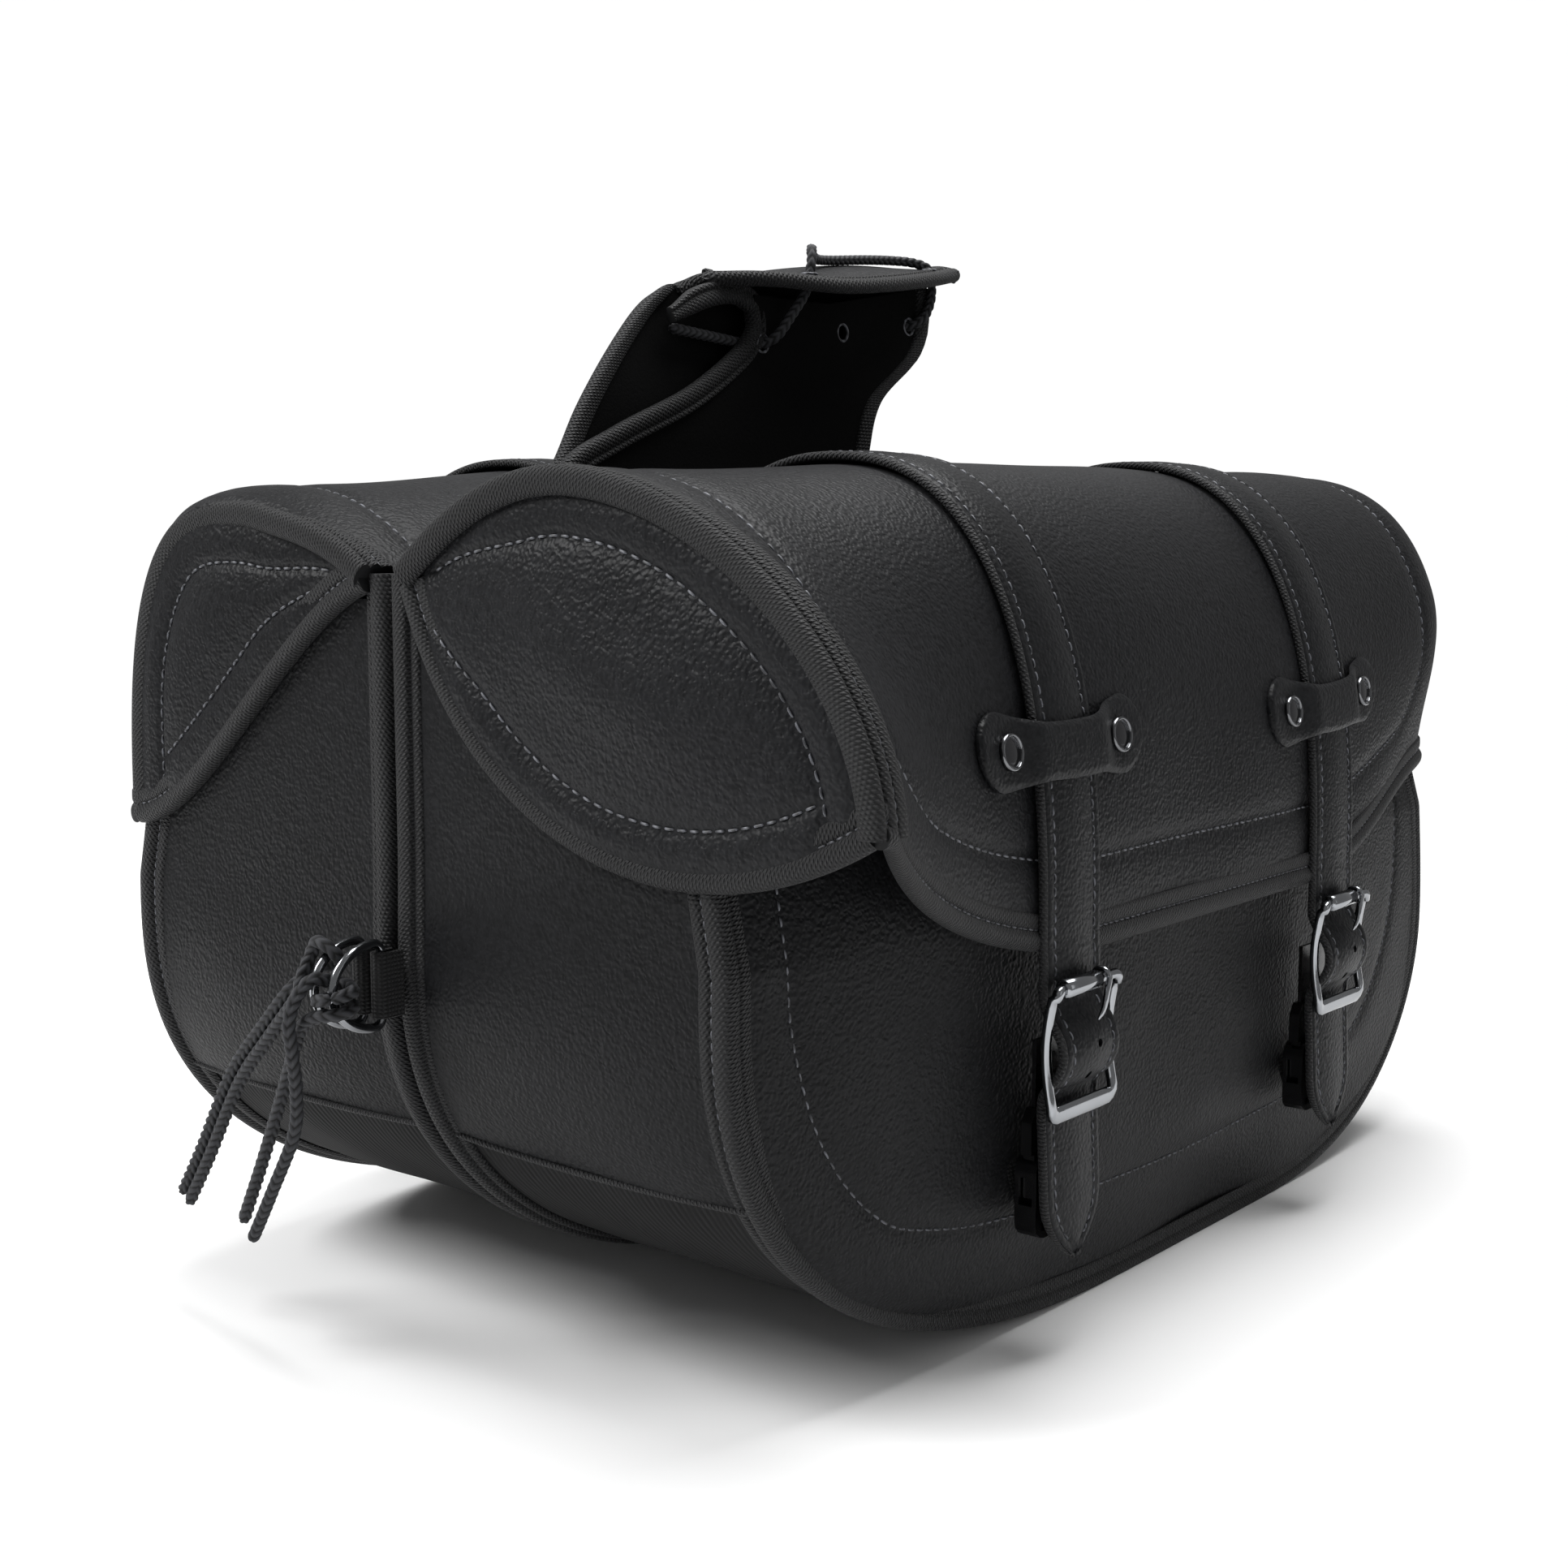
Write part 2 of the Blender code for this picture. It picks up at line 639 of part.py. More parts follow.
def keeper_lift(reach):
    """Height of the keeper's underside above the lid: it climbs over the strap."""
    return GAP + (STRAP + GAP) * (1 - smooth((reach - STRAP_WIDTH / 2 - 1.5) / KEEPER_CLIMB))


def build_keeper(side, word, place, y, looks):
    hinge = (HINGE[0], 0.0, HINGE[1])
    middle = lid_fraction(height=KEEPER_Z)
    span = np.sum(np.linalg.norm(np.diff(SECTIONS[LID_MIDDLE], axis=0), axis=1))
    reaches = [0.0, 9.0, 17.5, 21.5, 25.5, 34.0, 38.5, 42.5, 45.3, KEEPER_LENGTH / 2]
    stations = [-r for r in reversed(reaches[1:])] + reaches
    over, under = [], []
    for s in stations:
        tall = keeper_half_height(abs(s)) / span
        lift = keeper_lift(abs(s))
        rows = (middle - tall, middle + tall, 5)
        under.append(lid_grid(side, [y + s], lift, *rows)[:, 0])
        over.append(lid_grid(side, [y + s], lift + KEEPER, *rows)[:, 0])
    solid(f"keeper_{place}_{word}", *sheet(over, under), looks["leather"], side, hinge)

    for mark, sign in (("a", -1), ("b", 1)):
        s = sign * RIVET_SPACING / 2
        base = lid_grid(side, [y + s], GAP + KEEPER + 2 * GAP, middle, middle, 1)[0, 0]
        around = lid_grid(side, [y + s - 5, y + s + 5], 0.0, middle - 5 / span, middle + 5 / span, 2)
        out = np.cross(around[1, 0] - around[0, 0], around[0, 1] - around[0, 0])
        out /= np.linalg.norm(out)
        profile = [(RIVET_RADIUS, 0.0), (RIVET_RADIUS, 0.9), (RIVET_RADIUS - 1.0, RIVET_HEIGHT)]
        profile += [(RIVET_RADIUS - 1.9, RIVET_HEIGHT - 0.1), (RIVET_RADIUS - 2.4, 1.3), (0.0, 1.3)]
        name = f"rivet_{mark}_{place}_{word}"
        solid(name, *lathe(base, out, profile, 20), looks["chrome"], side, hinge)


def lathe(base, axis, profile, sides):
    """A turned shape. profile gives (radius, height) from the underside to the middle of the top."""
    axis = np.asarray(axis, float)
    first = np.cross(axis, (0.0, 1.0, 0.0))
    first /= np.linalg.norm(first)
    second = np.cross(axis, first)
    points = []
    for radius, height in profile[:-1]:
        for k in range(sides):
            turn = 2 * pi * k / sides
            points.append(base + height * axis + radius * (cos(turn) * first + sin(turn) * second))
    faces = [tuple(range(sides - 1, -1, -1))]
    for i in range(len(profile) - 2):
        for k in range(sides):
            j = (k + 1) % sides
            faces.append((i * sides + k, i * sides + j, (i + 1) * sides + j, (i + 1) * sides + k))
    last = (len(profile) - 2) * sides
    faces.append(tuple(range(last, last + sides)))
    return points, faces


def buckle_path(y):
    """Closed loop of a buckle frame and its section sizes: round bars, a flat bar at the bottom."""
    low = BUCKLE_BOTTOM
    high = BUCKLE_TOP
    bend = BUCKLE_BEND
    side_z = np.linspace(low + bend, high - bend, 7)
    loop, sizes = [], []
    for x, z in side_bar(side_z):
        loop.append((x, y - BUCKLE_HALF, z))
        sizes.append((BUCKLE_WIRE, BUCKLE_WIRE))
    for turn in (radians(30), radians(60)):
        across, up = bend * (1 - cos(turn)), bend * (1 - sin(turn))
        loop.append((BUCKLE_X, y - BUCKLE_HALF + across, high - up))
        sizes.append((BUCKLE_WIRE, BUCKLE_WIRE))
    for s in (-BUCKLE_HALF + bend, 0.0, BUCKLE_HALF - bend):
        loop.append((BUCKLE_X, y + s, high))
        sizes.append((1.5, 1.5))
    for turn in (radians(60), radians(30)):
        across, up = bend * (1 - cos(turn)), bend * (1 - sin(turn))
        loop.append((BUCKLE_X, y + BUCKLE_HALF - across, high - up))
        sizes.append((BUCKLE_WIRE, BUCKLE_WIRE))
    for x, z in side_bar(side_z[::-1]):
        loop.append((x, y + BUCKLE_HALF, z))
        sizes.append((BUCKLE_WIRE, BUCKLE_WIRE))
    flat_x = BUCKLE_FLAT_X
    loop.append((flat_x, y + BUCKLE_HALF - 0.8, low + 0.6))
    sizes.append((2.2, 1.5))
    for s in np.linspace(BUCKLE_HALF - 2.6, -BUCKLE_HALF + 2.6, 4):
        loop.append((flat_x, y + s, low - 0.6))
        sizes.append(BUCKLE_FLAT)
    loop.append((flat_x, y - BUCKLE_HALF + 0.8, low + 0.6))
    sizes.append((2.2, 1.5))
    return loop, sizes


def side_bar(heights):
    """(x, z) of a side bar: it bows towards the bag half way down."""
    low, high = BUCKLE_BOTTOM, BUCKLE_TOP
    return [(BUCKLE_X - 0.8 - BUCKLE_ARCH * sin(pi * (z - low) / (high - low)), z) for z in heights]


def build_buckle(side, word, place, y, chrome, swing):
    loop, sizes = buckle_path(y)
    frame = solid(
        f"buckle_frame_{place}_{word}", *sweep(loop, sizes, 8, True, (1.0, 0.0, 0.0)), chrome, side, swing
    )
    left, right = y - BUCKLE_HALF + ROLLER_START, y + PRONG_OFFSET - ROLLER_STOP
    roller = [(BUCKLE_X, left, BUCKLE_TOP), (BUCKLE_X, right, BUCKLE_TOP)]
    size = [(ROLLER_RADIUS, ROLLER_RADIUS)] * 2
    sleeve = solid(f"roller_shape_{place}_{word}", *sweep(roller, size, 14, False, (0, 0, 1)), chrome, side)
    combine(frame, "UNION", sleeve)

    reach = PRONG_HOOK
    tip = BUCKLE_TOP - PRONG_LENGTH - 3.6
    path = [(BUCKLE_X + 1.6, tip), (BUCKLE_X + 2.6, BUCKLE_TOP - PRONG_LENGTH)]
    path.append((BUCKLE_X + reach, BUCKLE_TOP - 3.6))
    for turn in np.radians(np.arange(0, PRONG_WRAP, 30)):
        path.append((BUCKLE_X + reach * cos(turn), BUCKLE_TOP + reach * sin(turn)))
    path = [(x, y + PRONG_OFFSET, z) for x, z in path]
    sizes = [(0.45, 0.7)] + [(PRONG_WIRE, PRONG_WIRE)] * (len(path) - 1)
    pivot = (BUCKLE_X, y + PRONG_OFFSET, BUCKLE_TOP)
    solid(f"buckle_prong_{place}_{word}", *sweep(path, sizes, 8, False), chrome, side, pivot)


def box(low, high):
    outline = [(low[0], low[1]), (high[0], low[1]), (high[0], high[1]), (low[0], high[1])]
    return prism(outline, 2, low[2], high[2])


def rounded(half, low, high, radius, steps=4):
    """Rounded rectangle outline in (y, z), centred on y = 0."""
    outline = []
    for cy, cz, first in (
        (half - radius, high - radius, 0.0),
        (-half + radius, high - radius, 90.0),
        (-half + radius, low + radius, 180.0),
        (half - radius, low + radius, 270.0),
    ):
        for turn in np.radians(np.linspace(first, first + 90, steps)):
            outline.append((cy + radius * cos(turn), cz + radius * sin(turn)))
    return outline


def build_clip(side, word, place, y, plastic):
    half = CLIP_WIDTH / 2
    outline = [(y + a, b) for a, b in rounded(half, SOCKET_BOTTOM, SOCKET_TOP, CLIP_CORNER)]
    faces = (CLIP_X - CLIP / 2, CLIP_X + CLIP / 2)
    socket = solid(f"clip_socket_{place}_{word}", *prism(outline, 0, *faces), plastic, side)
    room = CLIP / 2 - CLIP_WALL
    near, far = CLIP_X - room, CLIP_X + room
    inside = half - CLIP_WALL
    floor = SOCKET_BOTTOM + CLIP_CAVITY
    cavity = box((near, y - inside, floor), (far, y + inside, SOCKET_TOP + CLIP_CAVITY))
    sill, lintel = SOCKET_BOTTOM + CLIP_WINDOW[0], SOCKET_TOP - CLIP_WINDOW[1]
    windows = box((near, y - 2 * half, sill), (far, y + 2 * half, lintel))
    slot, across = [SOCKET_BOTTOM + height for height in CLIP_SLOT], WEBBING_HALF + 0.5
    webbing_slot = box((CLIP_X - CLIP, y - across, slot[0]), (CLIP_X + CLIP, y + across, slot[1]))
    cutters = []
    for label, shape in (("cavity", cavity), ("windows", windows), ("slot", webbing_slot)):
        cutters.append(solid(f"clip_{label}_{place}_{word}", *shape, plastic, side))
    combine(socket, "DIFFERENCE", *cutters)

    thick = room - 0.5
    inner = half - CLIP_WALL - GAP
    low = floor + 1.0
    shoulder = SOCKET_TOP + GAP
    trident = [
        (-half, PLUG_TOP - 4),
        (-half, shoulder),
        (-inner, shoulder),
        (-inner, low + 12),
        (-inner, low + 4),
        (-inner + 2.0, low),
        (-inner + SNAP_LEAF, low + 5),
        (-inner + SNAP_LEAF, shoulder - 2),
        (-GUIDE_HALF, shoulder - 2),
        (-GUIDE_HALF, low),
        (GUIDE_HALF, low),
        (GUIDE_HALF, shoulder - 2),
        (inner - SNAP_LEAF, shoulder - 2),
        (inner - SNAP_LEAF, low + 5),
        (inner - 2.0, low),
        (inner, low + 4),
        (inner, low + 12),
        (inner, shoulder),
        (half, shoulder),
        (half, PLUG_TOP - 4),
        (half - 3, PLUG_TOP),
        (-half + 3, PLUG_TOP),
    ]
    outline = [(y + a, b) for a, b in trident]
    rest = (CLIP_X, y, shoulder)
    plug = solid(
        f"clip_plug_{place}_{word}", *prism(outline, 0, CLIP_X - thick, CLIP_X + thick), plastic, side, rest
    )
    near, far = CLIP_X - WEBBING / 2, CLIP_X + WEBBING / 2
    strip = box((near, y - WEBBING_HALF, PLUG_TOP - 2), (far, y + WEBBING_HALF, CLIP_WEBBING_TOP))
    combine(plug, "UNION", solid(f"clip_webbing_{place}_{word}", *strip, plastic, side))


def ring_path():
    """Closed loop of a D-ring that stands straight out from the end of the bag."""
    bend = RING_BEND
    loop = [(RING_Y, RING_Z + z) for z in np.linspace(-RING_HALF + bend, RING_HALF - bend, 6)]
    corner = [(bend * (1 - cos(t)), bend * (1 - sin(t))) for t in np.radians((30, 60))]
    loop += [(RING_Y - a, RING_Z + RING_HALF - b) for a, b in corner]
    for turn in np.linspace(pi / 2, -pi / 2, 15):
        loop.append((RING_Y - bend - (RING_DEPTH - bend) * cos(turn), RING_Z + RING_HALF * sin(turn)))
    loop += [(RING_Y - a, RING_Z - RING_HALF + b) for a, b in reversed(corner)]
    return [(RING_X, y, z) for y, z in loop]


def build_ring(side, word, looks):
    loop = ring_path()
    sizes = [(RING_WIRE, RING_WIRE)] * len(loop)
    pivot = (RING_X, RING_Y, RING_Z)
    solid(f"d_ring_{word}", *sweep(loop, sizes, 8, True, (1.0, 0.0, 0.0)), looks["chrome"], side, pivot)

    inner, outer = RING_WIRE + GAP, RING_WIRE + GAP + WEBBING
    turns = np.linspace(0, pi, 9)
    outline = [(RING_X + outer, LOOP_START_Y)]
    outline += [(RING_X + outer * cos(t), RING_Y - outer * sin(t)) for t in turns]
    outline += [(RING_X - outer, LOOP_START_Y), (RING_X - inner, LOOP_START_Y)]
    outline += [(RING_X - inner * cos(t), RING_Y - inner * sin(t)) for t in turns]
    outline += [(RING_X + inner, LOOP_START_Y)]
    solid(
        f"ring_loop_{word}", *prism(outline, 2, RING_Z - LOOP_HALF, RING_Z + LOOP_HALF), looks["fabric"], side
    )


def build_yoke(looks):
    """Two leather panels stand up between the bags; the left one folds forward over the right one."""
    rows = []
    for z, front, rear, x in curve_through(LEFT_YOKE, 11):
        rows.append([(x, y, z) for y in np.linspace(front, rear, YOKE_COLUMNS)])
    fold = curve_through(YOKE_FOLD, YOKE_COLUMNS)
    edge = curve_through(YOKE_EDGE, YOKE_COLUMNS)
    below = (np.array(rows[-1]) + fold) / 2 - (2.0, 0.0, 0.0)
    rows += [below, fold - (1.0, 0.0, 1.5), fold + (2.0, 0.0, -0.3)]
    rows += [fold + (edge - fold) * share for share in (0.55, 1.0)]
    left = solid("yoke_panel_left", *sheet(*both_faces(np.array(rows), YOKE)), looks["leather"])
    holes = [hole(f"left_{i}", place, (0.0, 0.0, 1.0), looks) for i, place in enumerate(FLAP_HOLES)]
    combine(left, "DIFFERENCE", *holes)

    rows = []
    for z, front, rear, x in curve_through(RIGHT_YOKE, 12):
        rows.append([(x, y, z) for y in np.linspace(front, rear, YOKE_COLUMNS)])
    right = solid("yoke_panel_right", *sheet(*both_faces(np.array(rows), YOKE)), looks["leather"])
    holes = [hole(f"right_{i}", place, (1.0, 0.0, 0.0), looks) for i, place in enumerate(PANEL_HOLES)]
    combine(right, "DIFFERENCE", *holes)


def hole(name, place, axis, looks):
    """A cutter for one lacing hole."""
    middle = np.array(place)
    ends = [middle - np.array(axis) * 7, middle + np.array(axis) * 7]
    size = [(HOLE_RADIUS, HOLE_RADIUS)] * 2
    return solid(f"hole_{name}", *sweep(ends, size, 12, False, (0.0, 1.0, 0.0)), looks["leather"])


def both_faces(rows, thick):
    """Two grids half a thickness either side of a grid."""
    down = np.gradient(rows, axis=0)
    along = np.gradient(rows, axis=1)
    normal = np.cross(down, along)
    normal /= np.linalg.norm(normal, axis=2)[:, :, None]
    return rows + normal * thick / 2, rows - normal * thick / 2


def cord(name, route, radius, count, look):
    """A round cord along a smooth curve through the given points."""
    line = curve_through(route, count) * MM
    data = bpy.data.curves.new(name, "CURVE")
    data.dimensions = "3D"
    data.bevel_depth = radius * MM
    data.bevel_resolution = 2
    data.use_fill_caps = True
    spline = data.splines.new("POLY")
    spline.points.add(count - 1)
    for point, place in zip(spline.points, line):
        point.co = (*place, 1.0)
    data.materials.append(look)
    made = bpy.data.objects.new(name, data)
    bpy.context.scene.collection.objects.link(made)
    return made


def main():
    clear_scene()
    looks = {
        "leather": material("black_leather", BLACK_LEATHER, 0.0, 0.5),
        "fabric": material("dark_fabric", DARK_FABRIC, 0.0, 0.85),
        "plastic": material("gloss_plastic", GLOSS_BLACK, 0.0, 0.25),
        "chrome": material("chrome", CHROME_GREY, 1.0, 0.12),
    }
    for side, word in ((1, "right"), (-1, "left")):
        build_body(side, word, looks)
        build_lid(side, word, looks)
        for place, sign in (("front", -1), ("rear", 1)):
            build_strap(side, word, place, sign * STRAP_Y, looks)
        build_ring(side, word, looks)
    build_yoke(looks)
    cord("yoke_lace", LACE, LACE_RADIUS, CORD_POINTS, looks["fabric"])
    cord("tie_cord_right", RIGHT_TIE, TIE_RADIUS, CORD_POINTS, looks["fabric"])
    cord("tie_cord_left", LEFT_TIE, TIE_RADIUS, CORD_POINTS, looks["fabric"])


main()
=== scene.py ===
from math import cos, pi, radians, sin

import bmesh
import bpy
import numpy as np
from mathutils import Matrix, Vector


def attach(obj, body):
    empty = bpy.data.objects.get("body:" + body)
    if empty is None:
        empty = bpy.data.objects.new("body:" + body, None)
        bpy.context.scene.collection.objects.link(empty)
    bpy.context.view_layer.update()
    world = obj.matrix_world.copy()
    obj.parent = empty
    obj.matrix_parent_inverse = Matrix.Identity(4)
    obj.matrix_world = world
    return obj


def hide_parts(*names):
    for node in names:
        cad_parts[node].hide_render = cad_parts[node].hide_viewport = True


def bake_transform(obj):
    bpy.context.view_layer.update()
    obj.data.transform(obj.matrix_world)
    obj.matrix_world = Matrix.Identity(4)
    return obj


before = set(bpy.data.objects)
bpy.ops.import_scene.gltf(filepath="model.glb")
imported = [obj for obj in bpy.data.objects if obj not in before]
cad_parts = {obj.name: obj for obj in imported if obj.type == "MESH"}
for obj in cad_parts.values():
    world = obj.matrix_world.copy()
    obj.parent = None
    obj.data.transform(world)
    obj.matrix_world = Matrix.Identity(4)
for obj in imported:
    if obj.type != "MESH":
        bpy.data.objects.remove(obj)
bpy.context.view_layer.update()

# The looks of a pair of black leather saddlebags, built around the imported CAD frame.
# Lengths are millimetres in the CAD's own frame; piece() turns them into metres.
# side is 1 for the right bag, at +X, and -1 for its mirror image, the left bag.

MM = 0.001

# Bag body, from the CAD
HALF_LENGTH = 229.0
BACK_X = 3.0
FRONT_X = 136.5
PANEL = 3.5
SKIN = 3.0
BACK_TOP = 246.0
FRONT_TOP = 208.0
GUSSET_TOP = 242.0
FRONT_BULGE = 13.0
BULGE_POWER = 2.2
BULGE_RISE = 60.0
BULGE_FALL = (150.0, 90.0)  # where the bulge starts to fade, and over what height
TUCK = 10.0
TUCK_START_Y = 150.0
TUCK_HEIGHTS = (142.0, 190.0)
FRONT_CORNER = (235.0, 142.0)
REAR_CORNER = (150.0, 100.0)
CORNER_POWER = 2.6
CANVAS_TOP = 74.0  # the leather of the gusset ends at this height, with canvas below it

# Lid, from the CAD except where a note says otherwise
HINGE = (8.0, 250.0)
CROWN_X = 75.0
LID_MIDDLE = (285.5, 160.0, 132.0, 2.55)
LID_END = (277.5, 144.5, 163.0, 2.8)
LID_REAR_END = (285.0, 152.0, 163.0, 2.8)
LID_SPLAYED_END = (280.5, 191.0, 186.0, 1.8)
LID_EDGE_Y = 232.8
BLEND_FROM = 80.0
LID_ROUND = 6.5  # the sewn shoulders of the lids are a little fuller than the CAD's 9
LID_ROUND_LENGTH = 26.0
LID_PINCH = 11.0
CAP = 2.4
CAP_Y = 229.9
CAP_EDGE = ((50.0, 235.0), (100.0, 165.0))
CAP_SPLAYED_EDGE = ((35.0, 172.0), (120.0, 146.0))
GAP = 0.35

# Straps and their hardware, from the CAD except where a note says otherwise
STRAP_Y = 94.0
STRAP_WIDTH = 32.0
STRAP = 3.2
STRAP_START_X = 24.0
STRAP_TIP_Z = 33.0
STRAP_POINT = 22.0
STRAP_HOLES = ((2.5, 103.0), (0.5, 92.6))  # across and height, as in the photograph and not as in the CAD
STRAP_HOLE_RADIUS = 1.35
KEEPER_Z = 197.0
KEEPER_LENGTH = 95.0
KEEPER_END_RADIUS = 13.0
KEEPER_NECK = 9.0  # the CAD has 8.5
KEEPER_CLIMB = 13.0
KEEPER_LEAN = {"front": (2.85, -0.089), "rear": (2.2, 0.03)}  # drop at the middle, and per mm to the rear
KEEPER = 2.4
RIVET_SPACING = 64.0
RIVET_RADIUS = 5.8
BUCKLE_X = 168.2
BUCKLE_TOP = 122.6
BUCKLE_BOTTOM = 83.0
BUCKLE_HALF = 18.3
BUCKLE_WIRE = 1.6
BUCKLE_ARCH = 2.8  # the CAD has 4
BUCKLE_BEND = 3.0
ROLLER_RADIUS = 3.1
PRONG_OFFSET = 8.0
PRONG_WIRE = 1.0
PRONG_LENGTH = 9.0
PRONG_LEAN = 4.0  # the resting prong's tip lies this far aside
CLIP_OFFSET = -1.0
CLIP_X = 155.6
RING_X = 4.4
RING_Y = -241.3
RING_Z = 124.0
RING_HALF = 13.2
RING_DEPTH = 19.0
RING_WIRE = 1.5
RING_BEND = 3.0
LOOP_HALF = 10.5
LOOP_START_Y = -235.0  # the CAD has -230
WEBBING = 1.4

# Yoke, from the CAD, with its free edges drawn in by up to 4.5 mm towards the photographed outline.
# The halves are rows of (height, front y, rear y, x); the fold and the flap's edge are points.
YOKE = 2.0
LEFT_YOKE = (
    (205.0, -188.0, 35.0, -1.4), (250.0, -188.0, 30.0, -1.4), (283.0, -158.5, 14.0, -2.0),
    (305.0, -144.0, 12.0, -3.0), (322.0, -130.5, 30.0, -4.5), (338.0, -115.0, 50.0, -5.0),
    (346.0, -104.0, 55.0, -5.0),
)
YOKE_FOLD = (
    (-4.0, -90.0, 349.0), (-3.0, -48.0, 356.5), (-3.0, -20.0, 360.5), (-3.0, 10.0, 363.3),
    (-3.0, 55.0, 365.0),
)
YOKE_EDGE = (
    (2.0, -86.0, 350.0), (16.0, -66.0, 351.5), (24.0, -35.0, 350.7), (24.0, -4.0, 353.8),
    (18.0, 30.0, 358.8), (8.0, 61.0, 364.0),
)
RIGHT_YOKE = (
    (205.0, -180.0, 35.0, 1.4), (250.0, -180.0, 30.0, 1.4), (283.0, -159.0, 9.0, 2.0),
    (297.0, -134.0, 7.0, 3.0), (312.0, -97.0, 12.0, 4.0), (326.0, -73.0, 31.0, 4.0),
    (336.0, -64.0, 42.5, 4.0), (347.0, -63.0, 44.0, 4.0),
)
PANEL_HOLES = ((4.0, -58.3, 330.0), (4.0, -11.0, 337.0), (4.0, 31.6, 342.0))
FLAP_HOLES = ((12.0, -40.0, 353.7), (7.0, 42.0, 362.6))

# Cords: the routes of the CAD's solids, with the lace up to 2 mm lower over the flap
TIE_RADIUS = 2.2
LACE_RADIUS = 2.0
LACE = (
    (-0.5, -102.0, 333.0), (-0.4, -74.0, 330.8), (0.2, -65.6, 330.0), (2.2, -59.9, 329.8),
    (5.2, -56.6, 330.3), (8.9, -54.0, 333.2), (11.2, -49.5, 340.0), (12.0, -42.5, 348.5),
    (12.0, -40.0, 355.0), (12.0, -38.5, 361.0), (9.5, -35.5, 365.5), (4.5, -28.0, 363.4),
    (0.0, -15.0, 363.9), (-1.0, 10.0, 366.4), (-0.5, 26.0, 367.6), (3.0, 37.5, 367.4),
    (7.0, 42.0, 364.5), (8.6, 42.0, 355.0), (8.7, 38.0, 347.0), (6.6, 33.8, 343.2), (3.4, 31.3, 342.0),
    (0.8, 27.2, 341.0), (-0.4, 19.0, 339.0), (-0.5, 0.0, 336.0),
)
RIGHT_TIE = (
    (-55.6, -252.0, 37.7), (-40.0, -255.0, 62.0), (-25.0, -258.0, 86.7), (-14.0, -261.0, 104.0),
    (-6.0, -264.0, 113.0), (1.5, -264.2, 117.3), (8.4, -261.6, 118.6), (8.4, -256.0, 119.6),
    (4.4, -254.1, 120.4), (-0.1, -258.0, 121.6), (1.6, -264.0, 122.4), (8.0, -263.8, 123.6),
    (9.2, -256.8, 124.8), (4.4, -254.0, 125.6), (0.0, -257.6, 127.0), (-1.2, -263.4, 128.4),
    (-3.8, -267.8, 122.6), (-5.4, -269.2, 115.0), (-6.4, -267.6, 106.0), (-9.6, -264.0, 90.5),
    (-14.3, -262.0, 76.8), (-29.0, -260.0, 55.0), (-44.0, -257.0, 35.4),
)
LEFT_TIE = (
    (-88.5, -250.0, 36.5), (-72.9, -252.0, 56.5), (-51.0, -255.0, 86.0), (-29.0, -258.5, 106.0),
    (-13.0, -261.0, 120.0), (-9.8, -260.5, 127.5), (-9.0, -257.6, 134.0), (-6.3, -257.3, 138.2),
    (-2.0, -257.0, 137.8), (0.2, -254.6, 134.2), (-1.6, -252.0, 130.6), (-6.3, -251.6, 130.0),
    (-10.6, -253.0, 129.6), (-14.2, -255.8, 126.4), (-18.5, -259.0, 121.8), (-32.7, -258.0, 109.0),
    (-54.7, -255.0, 89.0), (-76.6, -252.0, 59.4), (-92.0, -250.0, 39.4),
)

# Detail that only the looks have
CELL = 3.0  # spacing of the points of a leather surface
FRONT_BOW = 0.007  # the stuffed ends of a bag bow out by this share of their distance from the middle
REAR_BOW = 0.036
BOW_HEIGHTS = (15.0, 168.0)
LID_STITCH_INSET = 27.0  # of the stitch line, from the ends and the hem of a lid
LID_STITCH_CORNER = 34.0
CAP_STITCH_INSET = 15.0
PANEL_STITCH = (
    (-207.0, 207.0), (-207.0, 140.0), (-200.0, 105.0), (-188.0, 80.0), (-169.0, 60.0), (-148.0, 51.0),
    (-100.0, 43.0), (0.0, 39.0), (90.0, 40.0), (140.0, 47.0), (176.0, 66.0), (197.0, 104.0),
    (203.0, 150.0), (203.0, 207.0),
)
YOKE_BINDING_INSET = 1.6
YOKE_LIFT = 11.0  # the right half's rear top corner stands this much higher than in the CAD
YOKE_CURL = ((3.2, -64.0, 341.5), (3.0, -72.0, 344.0), (2.6, -86.0, 341.6), (1.8, -103.0, 334.5))
BRAID_STRANDS = 2  # columns of chevrons round a braided cord
BRAID_SLANT = 0.95
STITCH_PITCH = 4.6
STITCH_LENGTH = 3.3
STITCH_RADIUS = 0.42
TAPE_STITCH = (3.4, 2.7, 0.32, 0.0)  # pitch, length, radius and sink of the stitches along a tape

# Bound edges, as (inward, outward) points of their section: inward runs from the edge into the sheet
ARC_BINDING = (
    (10.2, -0.3), (9.9, 0.7), (8.2, 1.1), (6.2, 1.0), (5.5, 0.3), (4.9, 1.1), (3.3, 1.9), (1.7, 1.4),
    (1.0, 0.4), (0.2, 1.3), (-1.3, 1.7), (-2.7, 0.9), (-3.4, -0.9), (-3.5, -3.0), (-3.0, -5.0),
    (-1.9, -6.5), (-0.2, -7.0), (1.4, -5.0), (3.0, -1.6),
)
HEM_BINDING = (
    (9.6, -0.6), (9.4, 0.7), (8.4, 1.1), (5.6, 1.1), (4.6, 0.2), (3.8, 1.2), (2.0, 2.2), (-0.3, 2.0),
    (-1.9, 0.8), (-2.4, -1.0), (-1.9, -2.8), (-0.3, -3.9), (2.2, -4.2), (5.4, -3.9), (5.8, -2.8),
)
